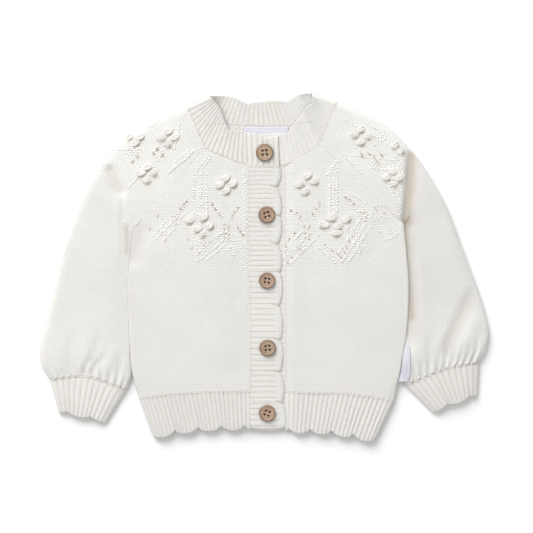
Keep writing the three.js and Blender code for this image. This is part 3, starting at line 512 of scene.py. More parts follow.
def makeStudio():
    cameraData = bpy.data.cameras.new("camera")
    cameraData.sensor_width = 36
    cameraData.lens = 36 * (view["height"] - view["clothHeight"]) / view["span"]
    cameraData.clip_end = 20
    camera = bpy.data.objects.new("camera", cameraData)
    bpy.context.scene.collection.objects.link(camera)
    camera.location = Vector((*view["centre"], view["height"])) * 0.001 + garmentShift
    bpy.context.scene.camera = camera
    bpy.context.scene.view_settings.view_transform = "Standard"

    mesh = bmesh.new()
    bmesh.ops.create_grid(mesh, x_segments=1, y_segments=1, size=4)
    bmesh.ops.translate(mesh, verts=mesh.verts, vec=(0, 0, -0.0004))
    data = bpy.data.meshes.new("table")
    mesh.to_mesh(data)
    mesh.free()
    table = bpy.data.objects.new("table", data)
    bpy.context.scene.collection.objects.link(table)
    surface, tree, shader = newMaterial("white_table", roughness=0.9, specular=0.1)
    shader.inputs["Base Color"].default_value = (0.83, 0.83, 0.84, 1)
    data.materials.append(surface)

    for name, place, size, power in (
        ("key", (-1.1, 2.0, 1.85), 2.2, 105),
        ("fill", (0.3, -0.6, 2.8), 2.4, 14),
    ):
        lightData = bpy.data.lights.new(name, "AREA")
        lightData.size = size
        lightData.energy = power
        light = bpy.data.objects.new(name, lightData)
        bpy.context.scene.collection.objects.link(light)
        light.location = place
        light.rotation_euler = (-Vector(place)).to_track_quat("-Z", "Y").to_euler()
    world = bpy.data.worlds.new("studio")
    bpy.context.scene.world = world
    world.use_nodes = True
    world.node_tree.nodes["Background"].inputs["Color"].default_value = (1, 0.985, 0.965, 1)
    world.node_tree.nodes["Background"].inputs["Strength"].default_value = 0.56


makeStudio()
print("cardigan: camera, light and table")


# Body

frontPiece = {
    "columns": 130,
    "rows": 60,
    "yokeRows": 112,
    "wales": 65,
    "length": 225,
}

# soft rolls and troughs left by handling: from, to, width and height
bodyFolds = {
    "right": [
        ((-98, -10), (-60, -45), 20, -0.8), ((-130, 10), (-125, 36), 8, -1.7),
        ((-70, -30), (-40, -80), 14, 0.5), ((-118, -60), (-90, -100), 13, -0.5),
        ((-60, -95), (-30, -105), 10, -0.4), ((-105, 20), (-80, -5), 9, 0.4),
        ((-100, 10), (-92, -100), 28, 1.5), ((-28, 0), (-26, -100), 11, -0.8),
    ],
    "left": [
        ((45, -60), (110, -90), 18, -0.8), ((125, 60), (110, 20), 12, -0.7),
        ((60, -20), (105, -35), 15, 0.5), ((40, -100), (90, -108), 9, -0.4),
        ((95, 10), (120, -20), 10, -0.5), ((28, -10), (40, -50), 10, 0.4),
        ((60, 5), (75, -100), 27, 1.4), ((36, 0), (32, -100), 10, -0.7),
    ],
}

# the yoke: raised petals (centre, length, width, turn)
petals = {
    "right": [
        ((-41, 89.5), 10, 5.8, 26), ((-47, 83), 10.5, 6, 24), ((-34, 84), 10, 6, 28),
        ((-40.5, 77), 9.5, 5.8, 30), ((-76, 48), 10.5, 6, 8), ((-63.5, 50.5), 11, 6.4, 24),
        ((-69, 39.5), 9.5, 6.2, 8), ((-57, 42), 9.5, 6, 36), ((-63, 34), 7, 5, 12),
    ],
    "left": [
        ((41, 92), 9.5, 5.4, 28), ((34, 84), 10.5, 5.8, 26), ((49, 87), 9.5, 6, 26),
        ((39.5, 76.5), 10, 5.6, 28), ((66, 50.5), 11, 6.2, 16), ((80.5, 49), 9.5, 5.8, 44),
        ((57.5, 43.5), 10.5, 5.8, -8), ((72, 42), 9, 6, 20), ((70.5, 35), 11, 5.4, 6),
    ],
}

# eyelets: centre, half width, half length and lean
eyelets = {
    "right": [
        ((-53.5, 63), 0.9, 1.9, 24), ((-50, 58.5), 0.9, 2.2, 20), ((-46, 53), 0.9, 2.2, 18),
        ((-28, 60), 1.0, 2.0, -30), ((-31, 56), 0.9, 2.0, -26), ((-33.5, 51.5), 0.9, 2.2, -8),
        ((-79, 66), 1.1, 1.8, -35), ((-82, 63), 1.1, 1.9, -35), ((-85.5, 58.5), 1.3, 2.1, -25),
        ((-22.5, 32), 1.5, 2.2, 40), ((-25.5, 36), 0.9, 1.4, 40), ((-28, 40), 0.7, 1.7, 8),
        ((-108, 52), 0.9, 1.8, 20), ((-116, 39), 0.9, 1.8, 20),
    ],
    "left": [
        ((25.5, 57), 1.0, 1.6, 45), ((30.5, 54.5), 0.9, 1.8, 38), ((34, 50.5), 0.9, 2.0, 26),
        ((53.5, 64), 0.9, 1.9, -26), ((50, 59), 0.9, 1.9, -24), ((47, 53.5), 0.9, 1.9, -12),
        ((80, 70), 0.9, 1.6, 26), ((84, 67.5), 0.9, 1.9, 22), ((88, 63.5), 1.0, 2.1, 18),
        ((23.5, 28.5), 1.1, 1.8, -48), ((19.8, 20.5), 1.1, 1.9, -40), ((29, 34.5), 0.8, 1.6, -45),
        ((111, 58), 1.0, 1.5, 70), ((119, 54), 1.0, 1.6, 40),
    ],
}

# pinholes, in the small lattices and along the lines
pinholes = {
    "right": [
        (-42, 43), (-37.2, 42), (-42, 38.5), (-37.5, 38), (-40.5, 34), (-37, 33), (-41.5, 30), (-37, 29.3),
        (-93, 51), (-89.5, 52), (-89.5, 48), (-93, 45), (-89.5, 43), (-62, 22), (-66, 15), (-56, 26),
        (-78, 28), (-74, 20), (-104, 34), (-100, 27),
    ],
    "left": [
        (38.5, 41), (44, 42.5), (42.5, 38.5), (39.5, 35), (43.5, 33.5), (39, 29.5), (43.5, 28.5),
        (94.5, 56), (99, 58.5), (98, 55), (96, 49), (100.5, 50.5), (100, 46), (34.5, 18), (26, 10.5),
        (22.5, 5), (59, 23), (67, 16.5), (72, 13), (75.5, 10.5), (79, 15), (81, 20.5), (83.5, 26), (86, 31.5),
    ],
}


# rows of knobbly stitches: from and to
stitchRows = {
    "right": [
        ((-72, 50), (-72, 95)), ((-59, 50), (-59, 95)), ((-65.5, 53), (-65.5, 98)), ((-65, 98), (-54, 113)),
        ((-70, 96), (-58, 112)), ((-116, 23), (-94, 46)), ((-106, 24), (-86, 45)), ((-94, 46), (-77, 68)),
        ((-68, 6), (-38, 32)), ((-62, 6), (-34, 29)), ((-72, 12), (-46, 35)), ((-68, 6), (-74, 36)),
        ((-63, 13), (-68, 34)), ((-34, 28), (-17, 6)), ((-38, 22), (-20, 0)), ((-54, 68), (-44, 50)),
        ((-26, 65), (-36, 48)), ((-114, 31), (-100, 47)), ((-86, 50), (-76, 58)), ((-50, 29), (-42, 38)),
    ],
    "left": [
        ((64, 53), (64, 97)), ((71, 56), (71, 108)), ((67.5, 53), (67.5, 103)), ((71, 108), (60, 92)),
        ((19, 18), (37, 38)), ((22, 2), (54, 34)), ((18, 10), (48, 38)), ((54, 30), (76, 6)),
        ((50, 24), (72, 2)), ((76, 6), (101, 46)), ((81, 4), (105, 42)), ((72, 14), (94, 48)),
        ((24, 60), (36, 48)), ((54, 66), (46, 48)), ((79, 73), (94, 53)), ((106, 63), (131, 62)),
        ((104, 53), (119, 28)), ((119, 28), (133, 34)), ((96, 62), (110, 48)), ((84, 76), (100, 64)),
    ],
}
# patches of moss stitch: centre, half across, half up and lean
mossPatches = {
    "right": [
        ((-21.5, 60), 1.8, 40, 0), ((-66, 20), 4, 12, 0), ((-100, 36), 5, 5, 45), ((-39.5, 36), 3, 9, 0),
        ((-91, 48), 4, 5, 0), ((-30, 22), 4, 9, -40), ((-65.5, 74), 5, 21, 0),
    ],
    "left": [
        ((24, 60), 2.2, 42, 0), ((60, 18), 3, 11, 45), ((96, 52), 4, 5, 0), ((41, 36), 3, 8, 0),
        ((112, 56), 7, 9, -20), ((124, 44), 5, 12, 20), ((30, 24), 4, 10, 42), ((90, 28), 4, 16, 32),
        ((67, 78), 4, 20, 0),
    ],
}


def hemSeam(side):
    s = cut[side]
    t = np.linspace(0, 1, 7)
    line = mix(np.array(s["bodyEdge"][1]), np.array(s["hemCentreSeam"]), t[:, None])
    line[:, 1] += 2.6 * np.sin(np.pi * np.minimum(t * 1.15, 1))
    return straightLine(line)


def backHemSeam():
    t = np.linspace(0, 1, 13)
    line = mix(np.array(cut["right"]["bodyEdge"][1]), np.array(cut["left"]["bodyEdge"][1]), t[:, None])
    line[:, 1] += 7 * np.sin(np.pi * t)
    return straightLine(line)


def sideRadius(y):
    # a front turns down sharply where it presses against the sleeve, and softly above the hem
    return mix(9, 1.6, ease((y + 128) / 24))


def frontFloorAt(side, u, v, x, y):
    atUnderarm = np.exp(-((1 - v) * frontPiece["length"] / 12) ** 2)
    share = np.maximum(rounded(u * 110, sideRadius(y)), atUnderarm)
    floor = cloth["frontFloor"] + cloth["frontAir"] * share
    if side == "left":
        floor = floor - (topFloor - cloth["coveredFloor"] + 0.35) * (1 - ease((1 - u) * 110 / 11))
    return np.maximum(floor + folds(bodyFolds[side], x, y), cloth["frontFloor"])


def wales(count, u):
    return 0.5 - 0.5 * np.cos(2 * np.pi * count * u)


def crescent(centre, length, width, turn):
    # the gap at the lower left of a petal: a shallow pit, darkened with painted shade
    angle = math.radians(turn - 88)
    reach = width * 0.6 + 0.7
    place = (centre[0] + math.cos(angle) * reach, centre[1] + math.sin(angle) * reach)
    return place, 1.0, length * 0.4, turn - 90, 0.35


def frontPatch(side):
    s = cut[side]
    underarm = s["bodyEdge"][-1]
    neck = straightLine([s["raglanFront"], *s["neckFront"]])
    return patch(
        bottom=hemSeam(side),
        top=bentLine(straightLine([underarm, s["raglanFront"]]), neck, 8 / 12),
        left=smoothLine(s["bodyEdge"][1:]),
        right=straightLine([s["hemCentreSeam"], s["neckFront"][-1]]),
        width=s["bodyWidth"],
        height=170,
    )


def makeFront(side):
    place = frontPatch(side)
    width = cut[side]["bodyWidth"]

    def shapeAt(u, v):
        p = place(u, v)
        x, y = p[:, 0], p[:, 1]
        base = frontFloorAt(side, u, v, x, y)
        nearSeam = np.minimum(np.minimum(u, 1 - u) * width, np.minimum(v, 1 - v) * frontPiece["length"])
        seamDip = 0.12 * np.exp(-(nearSeam / 1.8) ** 2)
        # painted shade along the underarm crease
        creaseShade = folds([((-129, 12), (-126, 38), 8, 0.14)], x, y)
        wale = (wales(frontPiece["wales"], u) - 0.5) * (1 - 0.6 * ease((v - 0.55) / 0.3))
        petalLift = sum(
            0.7 * np.exp(-((x - px) ** 2 + (y - py) ** 2) / 22.0) for (px, py), *size in petals[side]
        )
        rise = cloth["waleRise"] * wale + petalLift - seamDip
        outer = upright(p, base + cloth["wall"] + rise)
        inner = upright(p, base)
        outer, inner = withEdges(outer, inner, u * width)
        stitches = np.column_stack([x / 2.4, y / cloth["course"]])
        # painted shade along the seams and in the underarm crease
        return outer, inner, stitches, 0.12 * np.exp(-(nearSeam / 1.0) ** 2) + creaseShade

    holes = [(centre, wide * 0.8, long * 0.8, lean, 1.4) for centre, wide, long, lean in eyelets[side]]
    holes += [(centre, 0.45, 0.5, 0, 0.8) for centre in pinholes[side]]
    holes += [crescent(*row) for row in petals[side]]
    mesh = knitSheet(
        f"{side}_front",
        edged(frontPiece["columns"], width),
        np.concatenate([
            edged(frontPiece["rows"], frontPiece["length"] * 0.5)[:-2] * 0.5,
            0.5 + edged(frontPiece["yokeRows"], frontPiece["length"] * 0.5)[2:] * 0.5,
        ]),
        shapeAt,
        holes=holes,
    )
    return newPiece(f"{side}_front_knit", mesh, knit, [f"{side}_front_panel"])


backPiece = {"columns": 150, "rows": 100, "wales": 124}


def makeBack():
    right, left = cut["right"], cut["left"]
    neckPoints = [right["raglanBack"], right["neckBack"], backNeck, left["neckBack"], left["raglanBack"]]
    neckAndLeft = bentLine(
        straightLine(neckPoints), straightLine([left["raglanBack"], left["bodyEdge"][-1]]), 0.5,
    )
    place = patch(
        bottom=backHemSeam(),
        top=bentLine(straightLine([right["bodyEdge"][-1], right["raglanBack"]]), neckAndLeft, 4 / 12),
        left=smoothLine(right["bodyEdge"][1:]),
        right=smoothLine(left["bodyEdge"][1:]),
        width=270,
        height=200,
    )

    def shapeAt(u, v):
        p = place(u, v)
        nearEdge = np.minimum(u, 1 - u) * 270
        outer = upright(p, cloth["wall"] - 0.1 + 0.2 * wales(backPiece["columns"] / 2, u))
        inner = upright(p, np.zeros(len(p)))
        outer, inner = withEdges(outer, inner, nearEdge)
        stitches = np.column_stack([u * backPiece["wales"], p[:, 1] / cloth["course"]])
        # painted shade along the side edges
        return outer, inner, stitches, 0.4 * np.exp(-(nearEdge / 1.3) ** 2)

    mesh = knitSheet("back", edged(backPiece["columns"], 270), edged(backPiece["rows"], 250), shapeAt)
    return newPiece("back_knit", mesh, knit, ["back_panel"])


hemPiece = {
    "columnsPerRib": 8,
    "rows": 22,
    "lobeDepth": 5.5,
    "lobeRibs": 5,
    "depth": 38,
}


def makeFrontHem(side):
    s = cut[side]
    seam = hemSeam(side)
    width = s["bodyWidth"]

    def free(t):
        t = np.atleast_1d(t)
        line = mix(np.array(s["bodyEdge"][0]), np.array(s["hemCentre"]), t[:, None])
        steps = ((1 - t) * 21 - s["hemFirstNotch"]) / hemPiece["lobeRibs"]
        line[:, 1] += 3 * np.sin(np.pi * t) + hemPiece["lobeDepth"] / 2 - scallop(steps, hemPiece["lobeDepth"])
        return line

    place = patch(
        bottom=free,
        top=seam,
        left=smoothLine(s["bodyEdge"][:2]),
        right=straightLine([free(1)[0], seam(np.array([1.0]))[0]]),
        width=width,
        height=hemPiece["depth"],
    )

    def shapeAt(u, v):
        p = place(u, v)
        x, y = p[:, 0], p[:, 1]
        base = frontFloorAt(side, u, 0 * v, x, y)
        nearEdge = np.minimum(u * width, v * hemPiece["depth"])
        ribs = ribProfile(u * s["hemRibs"])
        crest = cloth["hemRise"] * ribs - 0.25
        outer = upright(p, base + cloth["wall"] + crest)
        outer, inner = withEdges(outer, upright(p, base), nearEdge)
        stitches = np.column_stack([u * s["hemRibs"] * 2, y / cloth["course"]])
        # painted shade in the rib grooves
        return outer, inner, stitches, 0.6 * (1 - ribs) ** 1.5

    mesh = knitSheet(
        f"{side}_hem",
        edged(s["hemRibs"] * hemPiece["columnsPerRib"], width),
        edged(hemPiece["rows"], hemPiece["depth"]),
        shapeAt,
    )
    return newPiece(f"{side}_hem_rib", mesh, ribbing, [f"{side}_front_hem_rib"])


def makeBackHem():
    right, left = cut["right"], cut["left"]
    ribCount = 54

    def free(t):
        line = mix(np.array(right["bodyEdge"][0]), np.array(left["bodyEdge"][0]), t[:, None])
        line[:, 1] += 10 * np.sin(np.pi * t) + 1 - scallop(9 * t + 0.4, hemPiece["lobeDepth"])
        return line

    place = patch(
        bottom=free,
        top=backHemSeam(),
        left=smoothLine(right["bodyEdge"][:2]),
        right=smoothLine(left["bodyEdge"][:2]),
        width=270,
        height=hemPiece["depth"],
    )

    def shapeAt(u, v):
        p = place(u, v)
        nearEdge = np.minimum(np.minimum(u, 1 - u) * 270, v * hemPiece["depth"])
        ribs = ribProfile(u * ribCount)
        outer = upright(p, cloth["wall"] - 0.5 + 0.5 * ribs)
        outer, inner = withEdges(outer, upright(p, np.zeros(len(p))), nearEdge)
        stitches = np.column_stack([u * ribCount * 2, p[:, 1] / cloth["course"]])
        # painted shade in the rib grooves
        return outer, inner, stitches, 0.6 * (1 - ribs) ** 1.5

    mesh = knitSheet("back_hem", edged(ribCount * 6, 270), edged(16, hemPiece["depth"]), shapeAt)
    return newPiece("back_hem_ribbing", mesh, ribbing, ["back_hem_rib"])


# Sleeves and cuffs

sleevePiece = {
    "wall": 2.1,
    "wales": 36,
    "frontColumns": 72,
    "backColumns": 40,
    "rows": 168,
    "length": 280,
    "underarm": 0.58,  # by length along the sleeve
    "foldHeight": 3.2,
    "underRadius": 3,
}
sleeveHeights = {
    "right": [(0, 7.6), (0.1, 9.0), (0.35, 9.2), (0.62, 8.1), (1, 7.7)],
    "left": [(0, 7.6), (0.1, 9.6), (0.35, 10.0), (0.62, 8.0), (1, 7.7)],
}

sleeveFolds = {
    "right": [
        ((-183, -106), (-177, -93), 3, -1.4), ((-174, -104), (-164, -90), 3.4, -1.4), ((-179, -105), (-170, -90), 2.2, 0.8),
        ((-146, 76), (-156, 97), 5, -3.0), ((-148.5, 12), (-149, 72), 3, 0.7), ((-142, 50), (-144, 74), 2.5, -0.8),
        ((-183, -98), (-178, -70), 5, 0.9), ((-172, -96), (-168, -74), 3.5, -0.8),
        ((-195, -97), (-194, -66), 4, -0.8), ((-206, -99), (-207, -78), 4.5, 0.7),
        ((-157, -102), (-153, -84), 4, 0.7), ((-146, -104), (-145, -88), 3.5, -0.7),
        ((-200, -50), (-165, -30), 13, -0.5), ((-190, 20), (-160, 0), 14, 0.4), ((-185, 60), (-150, 40), 12, -0.5),
    ],
    "left": [
        ((138, 46), (143, 112), 2.4, -3.2, 9), ((132, 52), (137, 108), 6, 0.5),
        ((179, -84), (203, -30), 6, -2.0, 10), ((194, -84), (208, -52), 6, 1.1), ((209, -88), (214, -66), 4, -1.0),
        ((174, -93), (176, -68), 4.5, 0.9), ((163, -97), (163, -76), 3.5, -0.8), ((152, -102), (151, -82), 4, 0.6),
        ((165, -35), (205, -45), 13, -0.5), ((160, 0), (190, 15), 14, 0.4), ((155, 45), (178, 55), 12, -0.5),
    ],
}
# painted shade in the deepest creases, darkening the cloth's colour there
sleeveShade = {
    "right": [((-148, 80), (-156, 97), 5, 0.3), ((-139, 16), (-139.5, 42), 2.5, 0.6)],
    "left": [
        ((139, 46), (144, 112), 2, 1.2, 7), ((144.5, -48), (138, 44), 4.5, 0.9), ((143, -62), (138, 44), 11, 0.28),
        ((180, -80), (202, -34), 7, 0.22),
    ],
}
sleevePetals = {
    "right": [
        ((-98, 136.5), 9.5, 5.6, 20), ((-104.5, 130), 10, 5.6, 16), ((-91.5, 131), 9.5, 5.6, 24),
        ((-98, 124), 9, 5.4, 20), ((-131, 125), 9, 5.4, 30), ((-137, 131), 8.5, 5, 34), ((-126, 131), 8.5, 5, 24),
        ((-119, 101), 9.5, 5.6, 16), ((-125.5, 95), 9.5, 5.6, 12), ((-112.5, 95), 9, 5.6, 26),
        ((-119, 88), 9.5, 5.4, 14),
    ],
    "left": [
        ((95, 139), 9.5, 5.6, 24), ((88, 133), 10, 5.6, 20), ((101.5, 132), 9.5, 5.6, 20), ((95, 126), 9.5, 5.4, 22),
        ((129, 123), 9, 5.4, 30), ((135, 117), 8.5, 5, 34),
        ((127, 97), 9.5, 5.6, 16), ((121, 91), 9.5, 5.6, 22), ((133, 90), 9, 5.4, 14), ((127, 84), 9, 5.4, 20),
    ],
}
sleeveEyelets = {
    "right": [
        ((-108, 118), 0.9, 1.9, 20), ((-112, 114), 0.9, 1.9, 24), ((-103, 112), 0.9, 1.9, -20),
        ((-128, 110), 0.9, 1.9, 10), ((-133, 106), 0.9, 1.9, 14),
    ],
    "left": [
        ((104, 113), 1.2, 1.9, 60), ((109, 110), 1.1, 1.9, 30), ((112, 104), 0.9, 1.9, -10),
        ((96, 112), 0.9, 1.9, 20), ((116, 112), 0.9, 1.8, 30),
    ],
}


sleeveStitchRows = {
    "right": [
        ((-154, 118), (-124, 119)), ((-138, 80), (-120, 100)), ((-114, 118), (-103, 106)), ((-106, 148), (-118, 140)),
        ((-96, 98), (-71, 118)), ((-101, 92), (-76, 113)), ((-140, 114), (-128, 134)), ((-128, 112), (-124, 88)),
        ((-110, 122), (-112, 100)), ((-86, 146), (-92, 118)),
    ],
    "left": [
        ((79, 148), (134, 118)), ((84, 113), (129, 108)), ((106, 108), (134, 68)), ((74, 118), (106, 83)),
        ((112, 98), (136, 100)), ((88, 122), (114, 100)), ((118, 132), (136, 112)), ((124, 80), (134, 52)),
        ((80, 112), (96, 94)), ((108, 142), (120, 128)),
    ],
}
sleeveMoss = {
    "right": [((-106, 112), 4, 6, 20), ((-134, 118), 5, 5, 0), ((-84, 112), 3, 10, -50)],
    "left": [((127, 100), 7, 11, 20), ((108, 104), 6, 6, 0), ((130, 74), 4, 12, 15), ((112, 130), 7, 6, 30), ((86, 104), 3, 11, 50)],
}


def cuffSeam(side):
    s = cut[side]
    return smoothLine([s["sleeveInner"][0], s["cuffBend"], s["sleeveOuter"][0]])


def opened(v):
    # the body side of a sleeve opens from a fold into two seams above the underarm
    above = v - sleevePiece["underarm"]
    return np.where(above <= 0, 0, rounded(above * 260, 8))


def flatTube(layers, wall, heightOf, widthAt, extra, radii, besideAt=None, openAt=None):
    # ring goes from 0 on the body side, over the front to 1 at the outer fold, and back to 2 underneath
    centre = sleevePiece["foldHeight"]

    def section(ring, v, depth):
        isFront = ring <= 1
        u = np.where(isFront, ring, 2 - ring)
        width = widthAt(v)
        isOpen = openAt(v) if openAt else np.zeros_like(v)
        low, high = (depth / width) * (1 - isOpen), 1 - depth / width
        plan = np.where(
            isFront[:, None], layers["front"](mix(low, high, u), v), layers["back"](mix(low, high, u), v),
        )
        near = np.minimum(u, 1 - u) * width
        held = np.where(u < 0.5, isOpen, 0)
        beside, outside = radii(v)
        over = np.maximum(rounded(near, np.where(u < 0.5, beside, outside)), held)
        under = np.maximum(rounded(near, sleevePiece["underRadius"]), held)
        bodySide = besideAt(v) if besideAt else heightOf(v)
        upper = mix(bodySide, heightOf(v), ease(u * width / 22)) - centre
        fade = ease(near / 6) + np.where((isOpen > 0) & (u < 0.5), 1 - ease(near / 6), 0)
        front = centre + (upper - depth) * over + extra(u, v, plan, depth > 0) * fade
        back = centre - (centre - depth) * under
        return upright(plan, np.where(isFront, front, back))

    return lambda ring, v: (section(ring, v, 0.0), section(ring, v, wall))


def sleeveWidth(v):
    return mix(88, 46, ease(v))


def sleeveTube(side):
    s = cut[side]
    inner = np.array(s["sleeveInner"], float)
    inner[1, 0] += 1.3 if side == "right" else -1
    inner[2:, 0] += 3.1 if side == "right" else -2.6  # pressed against the body
    beside = smoothLine(inner)
    shoulder = s["sleeveOuter"][-1]

    def layer(neckCorner):
        return patch(
            bottom=cuffSeam(side),
            top=straightLine([neckCorner, shoulder]),
            left=bentLine(beside, straightLine([inner[-1], neckCorner]), sleevePiece["underarm"]),
            right=smoothLine(s["sleeveOuter"]),
            width=40,
            height=280,
        )

    along, height = zip(*sleeveHeights[side])

    def heightOf(v):
        i = np.clip(np.searchsorted(along, v, side="right") - 1, 0, len(along) - 2)
        low, high = np.array(along)[i], np.array(along)[i + 1]
        return mix(np.array(height)[i], np.array(height)[i + 1], ease((v - low) / (high - low)))

    def besideAt(v):
        pressed = 7.9 if side == "right" else 5.2
        low = mix(heightOf(v), pressed, ease((v - 0.06) / 0.12))
        return np.where(v > sleevePiece["underarm"], seamHeight, low)

    def radii(v):
        pressed = mix(7, 1.5, ease((v - 0.06) / 0.1))
        if side == "right":
            return pressed, 9 + 0 * v
        return pressed, 8 + 11 * np.exp(-((v - 0.27) / 0.13) ** 2)

    def extra(u, v, p, isInner):
        x, y = p[:, 0], p[:, 1]
        gathers = 1.2 * np.maximum(0, 1 - v / 0.08) * np.sin(2 * np.pi * 11 * u + 0.8 * np.sin(9 * u))
        shape = folds(sleeveFolds[side], x, y) + gathers * rounded(np.minimum(u, 1 - u), 0.15)
        if isInner:
            return shape
        petalLift = sum(
            0.7 * np.exp(-((x - px) ** 2 + (y - py) ** 2) / 22.0) for (px, py), *size in sleevePetals[side]
        )
        seamDip = 0.12 * np.exp(-((1 - v) * 280 / 2.2) ** 2) + 0.4 * np.exp(-(v * 280 / 2.2) ** 2)
        wale = cloth["waleRise"] * 0.8 * (wales(sleevePiece["wales"], u) - 0.5) * (1.2 - 0.5 * ease((v - 0.5) / 0.3))
        return shape + petalLift - seamDip + wale

    layers = {"front": layer(s["raglanFront"]), "back": layer(s["raglanBack"])}
    return flatTube(layers, sleevePiece["wall"], heightOf, sleeveWidth, extra, radii, besideAt, opened)


def ringShares(frontCount, backCount):
    front, back = foldedShares(frontCount), foldedShares(backCount)
    return np.concatenate([front, (2 - back[::-1])[1:]])


def makeSleeve(side):
    tube = sleeveTube(side)

    def shapeAt(ring, v):
        outer, inner = tube(ring, v)
        u = np.where(ring <= 1, ring, 2 - ring)
        nearSeam = np.minimum(v, 1 - v) * sleevePiece["length"]
        onSlit = (v > sleevePiece["underarm"] + 0.02) & (u < 0.5)
        nearSeam = np.where(onSlit, np.minimum(nearSeam, u * sleeveWidth(v)), nearSeam)
        across = (ring - 0.5) * sleeveWidth(v) / sleeveWidth(0) * sleevePiece["wales"]
        stitches = np.column_stack([across, v * sleevePiece["length"] / cloth["course"]])
        # painted shade in the deepest creases and along the seams
        creaseShade = np.where(ring <= 1, folds(sleeveShade[side], outer[:, 0], outer[:, 1]), 0)
        return outer, inner, stitches, 0.12 * np.exp(-(nearSeam / 1.0) ** 2) + np.clip(creaseShade, 0, 1)

    mesh = knitSheet(
        f"{side}_sleeve",
        ringShares(sleevePiece["frontColumns"], sleevePiece["backColumns"]),
        edged(sleevePiece["rows"], sleevePiece["length"]),
        shapeAt,
        holes=[(*row, 1.7) for row in sleeveEyelets[side]] + [crescent(*row) for row in sleevePetals[side]],
    )
    return newPiece(f"{side}_sleeve_knit", mesh, knit, [f"{side}_sleeve"])


cuffPiece = {"ribs": 12, "columnsPerRib": 9, "rows": 22, "lobeRibs": 6, "lobeDepth": 4, "length": 36}


def makeCuff(side):
    s = cut[side]

    def free(t):
        line = mix(np.array(s["cuffInner"]), np.array(s["cuffOuter"]), t[:, None])
        line[:, 1] += 1 - scallop(t * cuffPiece["ribs"] / cuffPiece["lobeRibs"] + 0.35, cuffPiece["lobeDepth"])
        return line

    layer = patch(
        bottom=free,
        top=cuffSeam(side),
        left=straightLine([s["cuffInner"], s["sleeveInner"][0]]),
        right=straightLine([s["cuffOuter"], s["sleeveOuter"][0]]),
        width=60,
        height=34,
    )

    def extra(u, v, p, isInner):
        seamDip = 0.5 * np.exp(-((1 - v) * cuffPiece["length"] / 2.2) ** 2)
        ribbed = mix(0.85, ribProfile(u * cuffPiece["ribs"]), ease((1 - v) * cuffPiece["length"] / 6.5 - 0.2))
        return np.zeros_like(u) if isInner else cloth["cuffRise"] * ribbed - 0.25 - seamDip

    tube = flatTube(
        {"front": layer, "back": layer},
        cloth["wall"],
        lambda v: mix(6.6, 7.2, v),
        lambda v: mix(47, 78, v),
        extra,
        lambda v: (14, 14),
    )

    def shapeAt(ring, v):
        outer, inner = tube(ring, v)
        outer, inner = withEdges(outer, inner, v * cuffPiece["length"])
        ribs = ribProfile(ring * cuffPiece["ribs"])
        stitches = np.column_stack([ring * cuffPiece["ribs"] * 2, v * cuffPiece["length"] / cloth["course"]])
        # painted shade in the rib grooves
        return outer, inner, stitches, 0.6 * (1 - ribs) ** 1.5

    count = cuffPiece["ribs"] * cuffPiece["columnsPerRib"]
    mesh = knitSheet(
        f"{side}_cuff", ringShares(count, count), edged(cuffPiece["rows"], cuffPiece["length"]), shapeAt,
    )
    return newPiece(f"{side}_cuff_ribbing", mesh, ribbing, [f"{side}_cuff_rib"])


# Neckband: one ribbed strip, from the covered end, over both shoulders, to the end that shows

neckPiece = {
    "rib": 5.3,
    "columnsPerRib": 8,
    "rows": 18,
    "lobeWidth": 39.2,
    "lobeFirst": 32.2,
    "lobeDepth": 6,
    "width": 28,
}


